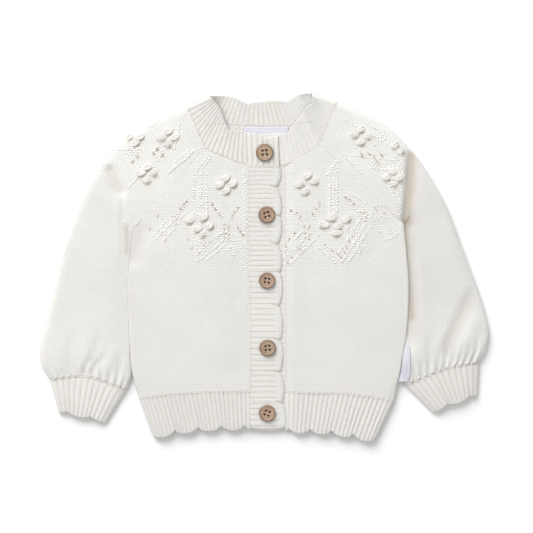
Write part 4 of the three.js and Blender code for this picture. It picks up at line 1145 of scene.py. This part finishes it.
def neckStations():
    right, left = cut["right"], cut["left"]
    upper = topFloor + cloth["wall"] / 2
    covered = cloth["coveredFloor"] + 1.65 / 2
    lower = cloth["wall"] / 2
    rows = []

    def add(seam, edge, z, wall=cloth["wall"]):
        rows.append((*seam, *edge, z, wall))

    def at(line, t):
        return line(np.array([float(t)]))[0]

    def turn(seam, edge, fromZ, toZ):
        # a half circle between the two layers at a shoulder
        radius, middle = abs(fromZ - toZ) / 2, (fromZ + toZ) / 2
        for k in range(13):
            angle = math.pi * k / 12
            distance = radius * (1 - math.sin(angle)) + cloth["wall"] / 2
            points = []
            for before, here, after in (seam, edge):
                here = np.array(here, float)
                towards = np.array(before if angle < math.pi / 2 else after, float) - here
                points.append(here + towards * distance / np.hypot(*towards))
            add(*points, middle + math.cos(angle) * (fromZ - middle))

    edgeLeft = smoothLine(left["neckEdge"][::-1])
    edgeRight = smoothLine([*right["neckEdge"][:-1], (-19.5, 132.4)])
    add((-12, 104), (-11, 131), covered, 1.65)
    add((8, 104), (4, 131.5), covered, 1.65)
    for i, (p, raised) in enumerate(zip(left["neckFront"][::-1], (0.2, 0.85, 1, 1))):
        add(p, at(edgeLeft, 0.04 + 0.15 * i), mix(covered, upper, raised))
    add(left["raglanFront"], at(edgeLeft, 0.62), upper)
    leftShoulder = left["sleeveOuter"][-1]
    add(mix(np.array(left["raglanFront"]), np.array(leftShoulder), 0.5), at(edgeLeft, 0.82), upper)
    backEdge = smoothLine([at(edgeLeft, 1), (-3, 164.8), at(edgeRight, 0)])
    turn(
        (left["raglanFront"], leftShoulder, left["raglanBack"]),
        (at(edgeLeft, 0.9), at(edgeLeft, 1), at(backEdge, 0.1)), upper, lower,
    )
    add(left["raglanBack"], at(backEdge, 0.14), lower)
    add(left["neckBack"], at(backEdge, 0.33), lower)
    add(backNeck, at(backEdge, 0.5), lower)
    add(right["neckBack"], at(backEdge, 0.67), lower)
    add(right["raglanBack"], at(backEdge, 0.86), lower)
    rightShoulder = right["sleeveOuter"][-1]
    turn(
        (right["raglanBack"], rightShoulder, right["raglanFront"]),
        (at(backEdge, 0.9), at(edgeRight, 0), at(edgeRight, 0.1)), lower, upper,
    )
    add(mix(np.array(right["raglanFront"]), np.array(rightShoulder), 0.5), at(edgeRight, 0.2), upper)
    add(right["raglanFront"], at(edgeRight, 0.42), upper)
    for i, p in enumerate(right["neckFront"]):
        add(p, at(edgeRight, 0.55 + 0.15 * i), upper)
    add((-2, 102), (-3, 132.5), upper)
    add((13.6, 101.6), (12.6, 129.5), upper)
    return np.array(rows, float)


def makeNeckband():
    stations = neckStations()
    steps = np.diff(stations, axis=0)
    run = np.concatenate([[0], np.cumsum(np.sqrt(steps[:, 0] ** 2 + steps[:, 1] ** 2 + steps[:, 4] ** 2))])
    edgeRun = np.concatenate([[0], np.cumsum(np.sqrt(steps[:, 2] ** 2 + steps[:, 3] ** 2 + steps[:, 4] ** 2))])
    total = run[-1]
    ribCount = round(total / neckPiece["rib"])

    def column(t):
        return [np.interp(t * total, run, stations[:, i]) for i in range(6)]

    def middle(t, v):
        seamX, seamY, edgeX, edgeY, z, wall = column(t)
        across = mix(-1.1 / neckPiece["width"], 1, v)
        lobes = (np.interp(t * total, run, edgeRun) - neckPiece["lobeFirst"]) / neckPiece["lobeWidth"]
        reach = (scallop(lobes, neckPiece["lobeDepth"]) - neckPiece["lobeDepth"] / 2) / neckPiece["width"]
        across = across + reach * ease((v - 0.55) / 0.45)
        return np.column_stack([mix(seamX, edgeX, across), mix(seamY, edgeY, across), z])

    def shapeAt(u, v):
        p = middle(u, v)
        step = 0.9 / total
        along = middle(np.minimum(u + step, 1), v) - middle(np.maximum(u - step, 0), v)
        seamX, seamY, edgeX, edgeY, z, wall = column(u)
        normal = np.cross(along, np.column_stack([edgeX - seamX, edgeY - seamY, np.zeros_like(z)]))
        normal /= np.linalg.norm(normal, axis=1)[:, None]
        ribs = ribProfile(u * ribCount, 4)
        strength = mix(0.35, 1, ease((u - 0.4) / 0.05))  # almost smooth on the left front
        fromEnd = (1 - u) * total
        half = wall / 2 - 0.35 * np.exp(-(fromEnd / 1.8) ** 2)
        crest = cloth["neckRise"] * strength * ribs - 0.2
        isUp = normal[:, 2] > 0
        isThick = wall > 1.9
        outer = p + normal * (half + np.where(isUp & isThick, crest, 0))[:, None]
        inner = p - normal * (half + np.where(~isUp & isThick & (p[:, 2] < 2), crest, 0))[:, None]
        nearEdge = np.minimum(np.minimum(u, 1 - u) * total, (1 - v) * neckPiece["width"])
        outer, inner = withEdges(outer, inner, nearEdge)
        outer[:, 2] = np.maximum(outer[:, 2], 0.02)
        inner[:, 2] = np.maximum(inner[:, 2], 0.02)
        stitches = np.column_stack([u * ribCount * 2, v * neckPiece["width"] / cloth["course"]])
        # painted shade in the inner corner at the back neck, along the sewn edge and in the rib grooves
        cornerShade = 0.75 * np.exp(-((p[:, 0] + 54) / 9) ** 2) * (p[:, 2] < 4)
        seamShade = 0.4 * np.exp(-(v * neckPiece["width"] / 1.1) ** 2)
        return outer, inner, stitches, np.minimum(strength * (1 - ribs) ** 1.3 + cornerShade + seamShade, 1.2)

    mesh = knitSheet(
        "neckband",
        edged(ribCount * neckPiece["columnsPerRib"], total),
        edged(neckPiece["rows"], neckPiece["width"]),
        shapeAt,
    )
    return newPiece("neckband_ribbing", mesh, ribbing, ["neckband_rib"])


# Bands down the front

bandPiece = {
    "top": 102.0,
    "bottom": -160,
    "lobeDepth": 3.5,
    "columns": 22,
    "rowsPerRib": 8,
    # ribs counted down the band at each height: closer together near the neck
    "ribsAt": [(102, -0.3), (100.5, 0), (64.5, 8.1), (36.5, 14), (2, 21), (-24.5, 26), (-64, 33), (-92, 38), (-130, 45), (-160, 50.5)],
    "notches": [
        (12.5, 104), (10.2, 81), (13.5, 52), (11, 24), (13.4, -4), (12.6, -38), (13.6, -72),
        (13.4, -104), (15.6, -135), (17.6, -163),
    ],
}


def bandSeam(side, y):
    s = cut[side]
    topX, topY = s["neckFront"][-1]
    t = np.clip((topY - y) / (topY - s["hemCentreSeam"][1]), None, 1)
    return mix(topX, s["hemCentre"][0], t)


def bandEdge(y):
    notchX, notchY = np.array(bandPiece["notches"], float).T
    i = np.clip(np.searchsorted(-notchY, -y, side="right") - 1, 0, len(notchY) - 2)
    t = (notchY[i] - y) / (notchY[i] - notchY[i + 1])
    return mix(notchX[i], notchX[i + 1], t) + scallop(t, bandPiece["lobeDepth"])


def ribsDown(y):
    heights, counts = np.array(bandPiece["ribsAt"], float).T
    return np.interp(-y, -heights, counts)


def makeButtonholeBand():
    length = bandPiece["top"] - bandPiece["bottom"]

    def shapeAt(u, v):
        y = mix(bandPiece["top"] + 2.2 * ease(1 - u / 0.55), bandPiece["bottom"] - 1.6 * np.sin(np.pi * u), v)
        seamX, edgeX = bandSeam("right", y) + cloth["seamGap"], bandEdge(y)
        x = mix(seamX, edgeX, u)
        bow = 0.55 * np.sin(np.pi * u) * np.sin(y / 11.0)  # the ribs run a little uneven
        y = y + bow
        nearEdge = np.minimum((1 - u) * 30, (1 - v) * length)
        ribs = mix(1, ribProfile(ribsDown(y - bow), 4.5), ease((1 - u) * 30 / 6 - 0.4))
        tucks = [((nx - 5, ny + 1), (nx + 1, ny - 0.5), 1.1, 1) for nx, ny in bandPiece["notches"]]
        tucked = folds(tucks, x, y)
        crest = cloth["bandRise"] * ribs - 0.2 - 1.2 * np.exp(-(nearEdge / 1.8) ** 2) - 0.6 * tucked
        outer, inner = withEdges(
            np.column_stack([x, y, topFloor + cloth["wall"] + crest]),
            np.column_stack([x, y, np.full_like(x, topFloor)]),
            nearEdge,
        )
        stitches = np.column_stack([ribsDown(y - bow) * 2, u * 30 / cloth["course"]])
        # painted shade in the rib grooves and in the tucks at the notches
        return outer, inner, stitches, np.minimum((1 - ribs) ** 1.3 + 0.7 * tucked, 1.2)

    rows = int(50.5 * bandPiece["rowsPerRib"])
    mesh = knitSheet("buttonhole_band", edged(bandPiece["columns"], 30), edged(rows, length), shapeAt)
    return newPiece("buttonhole_band_ribbing", mesh, ribbing, ["buttonhole_band"])


def makeButtonBand():
    length = bandPiece["top"] - bandPiece["bottom"] - 1

    def shapeAt(u, v):
        y = mix(bandPiece["top"] + 2.2, bandPiece["bottom"] + 1, v)
        x = mix(bandSeam("right", y) + 5 - scallop(v * 9, bandPiece["lobeDepth"]), bandSeam("left", y) - cloth["seamGap"], u)
        nearEdge = np.minimum(u * 28, (1 - v) * length)
        ribs = ribProfile(ribsDown(y))
        top = cloth["coveredFloor"] + cloth["coveredWall"] - 0.35 + 0.4 * ribs
        outer, inner = withEdges(
            np.column_stack([x, y, top]), np.column_stack([x, y, np.full_like(x, cloth["coveredFloor"])]), nearEdge,
        )
        stitches = np.column_stack([ribsDown(y) * 2, u * 28 / cloth["course"]])
        # painted shade in the rib grooves
        return outer, inner, stitches, 0.6 * (1 - ribs) ** 1.5

    mesh = knitSheet("button_band", edged(14, 28), edged(4 * 50, length), shapeAt)
    return newPiece("button_band_ribbing", mesh, ribbing, ["button_band"])


for side in ("right", "left"):
    makeFront(side)
    makeFrontHem(side)
    makeSleeve(side)
    makeCuff(side)
makeBack()
makeBackHem()
makeNeckband()
makeButtonholeBand()
makeButtonBand()
print("cardigan: cloth")


# Raised petals and seam stitches

def beadShape(around, up):
    mesh = bmesh.new()
    bmesh.ops.create_uvsphere(mesh, u_segments=around, v_segments=up, radius=1)
    data = bpy.data.meshes.new("bead")
    mesh.to_mesh(data)
    mesh.free()
    return data


loopBead = beadShape(8, 6)
stitchBead = beadShape(6, 4)
petalBead = beadShape(16, 10)
scatter = random.Random(5)


def setBead(mesh, bead, place, facing, length, width, rise, turn):
    # a small closed bead of yarn, long in its own X, standing on the cloth
    tilt = Vector((0, 0, 1)).rotation_difference(facing).to_matrix().to_4x4()
    size = Matrix.Diagonal((length / 2000, width / 2000, rise / 1000, 1))
    spin = Matrix.Rotation(math.radians(turn), 4, "Z")
    shape = bead.copy()
    shape.transform(Matrix.Translation(place) @ tilt @ spin @ size)
    mesh.from_mesh(shape)
    bpy.data.meshes.remove(shape)


def setStitch(mesh, x, y, names, turn, size=1.0):
    x += scatter.uniform(-0.25, 0.25)
    y += scatter.uniform(-0.25, 0.25)
    found = drop(x, y, names)
    if found:
        size *= scatter.uniform(0.7, 1.2)
        setBead(mesh, stitchBead, found[0], found[1], 2.4 * size, 1.9 * size, 1.0 * size, turn)


def setPetal(mesh, x, y, length, width, turn, names):
    # a bobble: one low dome with a few stitches knotted over it
    found = drop(x, y, names)
    if not found:
        return
    place, facing = found
    rise = 0.6
    setBead(mesh, petalBead, place, facing, length * 1.16, width * 1.16, rise, turn)
    angle = math.radians(turn)
    for k in range(6):
        along, aside = (k % 3 - 1) * length * 0.25, (k // 3 - 0.5) * width * 0.42
        height = rise * math.sqrt(1 - (2.2 * along / length) ** 2 - (2.2 * aside / width) ** 2) - 0.12
        offset = Vector((
            math.cos(angle) * along - math.sin(angle) * aside,
            math.sin(angle) * along + math.cos(angle) * aside,
            height,
        ))
        tilt = turn + scatter.uniform(20, 70) * (-1) ** k
        setBead(mesh, stitchBead, place + offset * 0.001, facing, 2.6, 1.7, 0.45, tilt)


def makePetals(name, rows, names):
    mesh = bmesh.new()
    for (x, y), length, width, turn in rows:
        setPetal(mesh, x, y, length, width, turn, names)
    return newPiece(name, mesh, yarn)


def makeStitches(name, lines, moss, names):
    mesh = bmesh.new()
    for start, end in lines:
        for i, (x, y, heading) in enumerate(alongLine([start, end], 3.0)):
            setStitch(mesh, x, y, names, heading + 35 * (-1) ** i)
    for (x, y), across, up, lean in moss:
        angle = math.radians(lean)
        for row in range(-int(up / 2.1), int(up / 2.1) + 1):
            for column in range(-int(across / 3.2), int(across / 3.2) + 1):
                side, length = (column + 0.5 * (row % 2)) * 3.2, row * 2.1
                px = x + math.cos(angle) * side - math.sin(angle) * length
                py = y + math.sin(angle) * side + math.cos(angle) * length
                setStitch(mesh, px, py, names, lean, 0.9)
    return newPiece(name, mesh, stitchYarn)


def alongLine(points, spacing):
    points = np.array(points, float)
    run = np.concatenate([[0], np.cumsum(np.hypot(*np.diff(points, axis=0).T))])
    count = max(2, round(run[-1] / spacing))
    places = (np.arange(count) + 0.5) / count * run[-1]
    x, y = np.interp(places, run, points[:, 0]), np.interp(places, run, points[:, 1])
    ahead = np.clip(places + 0.5, 0, run[-1])
    behind = np.clip(places - 0.5, 0, run[-1])
    dx = np.interp(ahead, run, points[:, 0]) - np.interp(behind, run, points[:, 0])
    dy = np.interp(ahead, run, points[:, 1]) - np.interp(behind, run, points[:, 1])
    return zip(x, y, np.degrees(np.arctan2(dy, dx)))


seamPiece = {"spacing": 2.4, "loopLength": 2.9, "loopWidth": 1.2, "loopRise": 0.38, "lean": 28, "spread": 0.62}


def chain(mesh, points, names, scale=1.0, rise=1.0):
    # a row of linked loops: two beads at each step, leaning in to each other
    p = seamPiece
    for x, y, heading in alongLine(points, p["spacing"] * scale):
        across = math.radians(heading + 90)
        for sign in (-1, 1):
            px = x + math.cos(across) * p["spread"] * sign * scale
            py = y + math.sin(across) * p["spread"] * sign * scale
            found = drop(px, py, names)
            if found:
                setBead(
                    mesh, loopBead, found[0], found[1], p["loopLength"] * scale, p["loopWidth"] * scale,
                    p["loopRise"] * scale * rise, heading + sign * p["lean"],
                )


def makeSeams():
    mesh = bmesh.new()
    t = np.linspace(0, 1, 60)
    for side in ("right", "left"):
        s = cut[side]
        body = [f"{side}_front", f"{side}_hem"]
        chain(mesh, hemSeam(side)(t * 0.985 + 0.01), body, 1.1, 1.6)
        chain(mesh, cuffSeam(side)(t * 0.94 + 0.03), [f"{side}_sleeve", f"{side}_cuff"], 1.5, 1.7)
    y = np.linspace(99, -122, 80)
    chain(mesh, np.column_stack([bandSeam("right", y) + 0.2, y]), ["right_front", "buttonhole_band"])
    chain(mesh, np.column_stack([bandSeam("left", y) - 0.2, y]), ["left_front", "buttonhole_band"])
    right, left = cut["right"], cut["left"]
    chain(
        mesh, [right["raglanBack"], right["neckBack"], backNeck, left["neckBack"], left["raglanBack"]],
        ["neckband", "back"],
    )
    return newPiece("seam_stitches", mesh, yarn)


for side in ("right", "left"):
    front, sleeve = [f"{side}_front"], [f"{side}_sleeve"]
    makePetals(f"{side}_front_flowers", petals[side], front)
    makePetals(f"{side}_sleeve_flowers", sleevePetals[side], sleeve)
    makeStitches(
        f"{side}_front_stitches", stitchRows[side], mossPatches[side], front,
    )
    makeStitches(
        f"{side}_sleeve_stitches", sleeveStitchRows[side], sleeveMoss[side], sleeve,
    )
makeSeams()
print("cardigan: petals and seams")


# Buttons

buttonPiece = {
    "floor": topFloor + cloth["wall"] + 0.9,
    "diameter": 16.6,
    "thick": 2.7,
    "holeDiameter": 2.2,
    "holeSpacing": 3.9,
    "rows": [  # centre, width against the rest, turn and tilt
        ((-1.4, 115.4), 1.05, 4, 0), ((0.5, 53.3), 1.02, 18, 9), ((1, -12.5), 0.98, -8, 0),
        ((1.6, -79.8), 1.0, 6, 0), ((1.2, -145), 1.0, -22, 0),
    ],
}


def buttonMaterial():
    material, tree, shader = newMaterial("horn_button", roughness=0.42, specular=0.5)
    uvMap = tree.nodes.new("ShaderNodeUVMap")
    uvMap.uv_map = "turned"
    split = tree.nodes.new("ShaderNodeSeparateXYZ")
    tree.links.new(uvMap.outputs["UV"], split.inputs[0])
    radius = split.outputs["X"]
    place = tree.nodes.new("ShaderNodeTexCoord").outputs["Object"]
    cloud = noise(tree, place, 210, detail=5, rough=0.6)
    rings = calc(tree, "SINE", calc(tree, "MULTIPLY", radius, 46))
    grain = calc(tree, "SUBTRACT", noise(tree, place, 950, detail=2), 0.5)
    tone = calc(tree, "MULTIPLY_ADD", grain, 1.0, calc(tree, "MULTIPLY", noise(tree, place, 14), 0.5))
    share = calc(tree, "MULTIPLY_ADD", cloud, 0.8, calc(tree, "MULTIPLY_ADD", rings, 0.1, tone))
    rim = calc(tree, "MULTIPLY_ADD", calc(tree, "POWER", radius, 7), 0.55, 0.1)
    share = calc(tree, "SUBTRACT", share, rim)
    colour = blendColours(tree, share, finish["shellDark"], finish["shellLight"])
    tree.links.new(colour, shader.inputs["Base Color"])
    addBump(tree, shader, calc(tree, "ADD", calc(tree, "MULTIPLY", rings, 0.3), cloud), strength=0.25, distance=0.0003)
    return material


def makeButtons():
    horn = buttonMaterial()
    p = buttonPiece
    radius, thick = p["diameter"] / 2, p["thick"]
    profile = [
        (0, 0.15), (radius * 0.55, 0.15), (radius - 1.6, 0.25), (radius - 0.5, 0.8), (radius, 1.5),
        (radius - 0.15, 2.1), (radius - 0.75, thick), (radius - 1.5, thick), (radius - 2.1, thick - 0.45),
        (radius - 2.9, thick - 0.62), (radius - 3.5, thick - 0.4), (radius - 4.3, thick - 0.55),
        (radius - 5.2, thick - 0.85), (0, thick - 0.95),
    ]
    for number, ((x, y), wide, turn, tilt) in enumerate(p["rows"], 1):
        mesh = bmesh.new()
        verts = [mesh.verts.new((r * 0.001, 0, z * 0.001)) for r, z in profile]
        edges = [mesh.edges.new(pair) for pair in zip(verts, verts[1:])]
        bmesh.ops.spin(
            mesh, geom=verts + edges, axis=(0, 0, 1), cent=(0, 0, 0), angle=2 * math.pi, steps=56, use_merge=True,
        )
        bmesh.ops.remove_doubles(mesh, verts=mesh.verts, dist=0.00001)
        bmesh.ops.recalc_face_normals(mesh, faces=mesh.faces)
        turned = mesh.loops.layers.uv.new("turned")
        for face in mesh.faces:
            for loop in face.loops:
                loop[turned].uv = (loop.vert.co.xy.length / (radius * 0.001), loop.vert.co.z * 1000)
        drill = bmesh.new()
        for sx in (-0.5, 0.5):
            for sy in (-0.5, 0.5):
                bmesh.ops.create_cone(
                    drill, cap_ends=True, segments=20, radius1=p["holeDiameter"] / 2000,
                    radius2=p["holeDiameter"] / 2000, depth=0.02,
                    matrix=Matrix.Translation((sx * p["holeSpacing"] * 0.001, sy * p["holeSpacing"] * 0.001, 0)),
                )
        data = bpy.data.meshes.new(f"button_{number}_blank")
        mesh.to_mesh(data)
        mesh.free()
        drillData = bpy.data.meshes.new("drill")
        drill.to_mesh(drillData)
        drill.free()
        blank = bpy.data.objects.new(f"button_{number}_blank", data)
        drills = bpy.data.objects.new("drill", drillData)
        for part in (blank, drills):
            bpy.context.scene.collection.objects.link(part)
        drilled = blank.modifiers.new("holes", "BOOLEAN")
        drilled.object = drills
        drilled.operation = "DIFFERENCE"
        drilled.solver = "EXACT"
        shape = bmesh.new()
        shape.from_object(blank, bpy.context.evaluated_depsgraph_get())
        bpy.data.objects.remove(blank)
        bpy.data.objects.remove(drills)
        sharp = [e for e in shape.edges if len(e.link_faces) == 2 and e.calc_face_angle(0) > 0.9]
        bmesh.ops.bevel(shape, geom=sharp, offset=0.0002, segments=2, profile=0.5, affect="EDGES", material=-1)
        seat = Vector((x, y, p["floor"])) * 0.001 + garmentShift
        matrix = (
            Matrix.Translation(seat) @ Matrix.Rotation(math.radians(tilt), 4, "Y")
            @ Matrix.Rotation(math.radians(turn), 4, "Z") @ Matrix.Diagonal((wide, wide, 1, 1))
        )
        bmesh.ops.transform(shape, matrix=matrix, verts=shape.verts)
        newPiece(f"button_{number}_turned", shape, horn, [f"button_{number}"])


def makeButtonThread():
    threadShade, tree, shader = newMaterial("button_thread_shade", roughness=0.9, specular=0.1)
    place = tree.nodes.new("ShaderNodeTexCoord").outputs["Object"]
    darker = tuple(c * 0.5 for c in finish["threadShade"])
    tree.links.new(blendColours(tree, noise(tree, place, 1500), darker, finish["threadShade"]), shader.inputs["Base Color"])
    mesh = bmesh.new()
    for (x, y), *rest in buttonPiece["rows"]:
        # a wound shank under each button, seen through its holes; its near-black colour is painted shade inside the
        # holes
        made = bmesh.ops.create_cone(
            mesh, cap_ends=True, segments=24, radius1=0.0046, radius2=0.0042, depth=0.0009,
            matrix=Matrix.Translation(Vector((x, y, buttonPiece["floor"] - 0.15)) * 0.001 + garmentShift),
        )
        rim = {e for v in made["verts"] for e in v.link_edges if len(e.link_faces) == 2}
        caps = [e for e in rim if e.calc_face_angle(0) > 0.9]
        bmesh.ops.bevel(mesh, geom=caps, offset=0.0003, segments=2, profile=0.5, affect="EDGES", material=-1)
    return newPiece("button_threads_shade", mesh, threadShade)


makeButtons()
makeButtonThread()
print("cardigan: buttons")


# Labels, both left plain

def makeNeckLabel():
    width, length, top, floor = 45, 20, 141, 2.3

    def shapeAt(u, v):
        x, y = (u - 0.5) * width, top - v * length
        lift = 0.35 * np.sin(np.pi * v) * (0.6 + 0.4 * np.sin(2.1 * np.pi * u + 0.5))
        hemmed = 0.25 * np.exp(-(((v * length) - 1.8) / 0.5) ** 2) + 0.2 * np.exp(-(((1 - v) * length - 1.8) / 0.5) ** 2)
        nearEdge = np.minimum(np.minimum(u, 1 - u) * width, np.minimum(v, 1 - v) * length)
        outer = np.column_stack([x, y, floor + 0.8 + lift - hemmed])
        inner = np.column_stack([x, y, floor + lift])
        outer, inner = withEdges(outer, inner, nearEdge, 0.4)
        return outer, inner, np.column_stack([x, y]), np.zeros_like(x)

    mesh = knitSheet("neck_label", edged(60, width), edged(28, length), shapeAt)
    return newPiece("neck_label_tape", mesh, tape, ["neck_label"])


def makeSideLabel():
    seamX, seamY = np.array(cut["left"]["bodyEdge"][1:], float).T

    def shapeAt(u, v):
        y = mix(-114, -77, v)
        left = np.interp(y, seamY, seamX) + 0.3
        right = 144.3 - 2.4 * (2 * v - 1) ** 4
        x = mix(left, np.maximum(right, left + 2.2), u)
        found = [drop(px, py, ["left_sleeve"]) for px, py in zip(x, y)]
        skinHeight = np.array([(hit[0].z * 1000 if hit else 0) for hit in found])
        z = np.maximum(skinHeight + 0.45, 5.4 + 1.4 * u)
        nearEdge = np.minimum(np.minimum(u, 1 - u) * 9, np.minimum(v, 1 - v) * 37)
        top, under = withEdges(np.column_stack([x, y, z + 0.8]), np.column_stack([x, y, z]), nearEdge, 0.4)
        return top, under, np.column_stack([u * 11, v * 33]), np.zeros_like(u)

    mesh = knitSheet("side_label", edged(14, 11), edged(40, 33), shapeAt)
    return newPiece("side_label_tape", mesh, tape, ["side_label"])


makeNeckLabel()
makeSideLabel()
print("cardigan: labels")


print("cardigan: done")
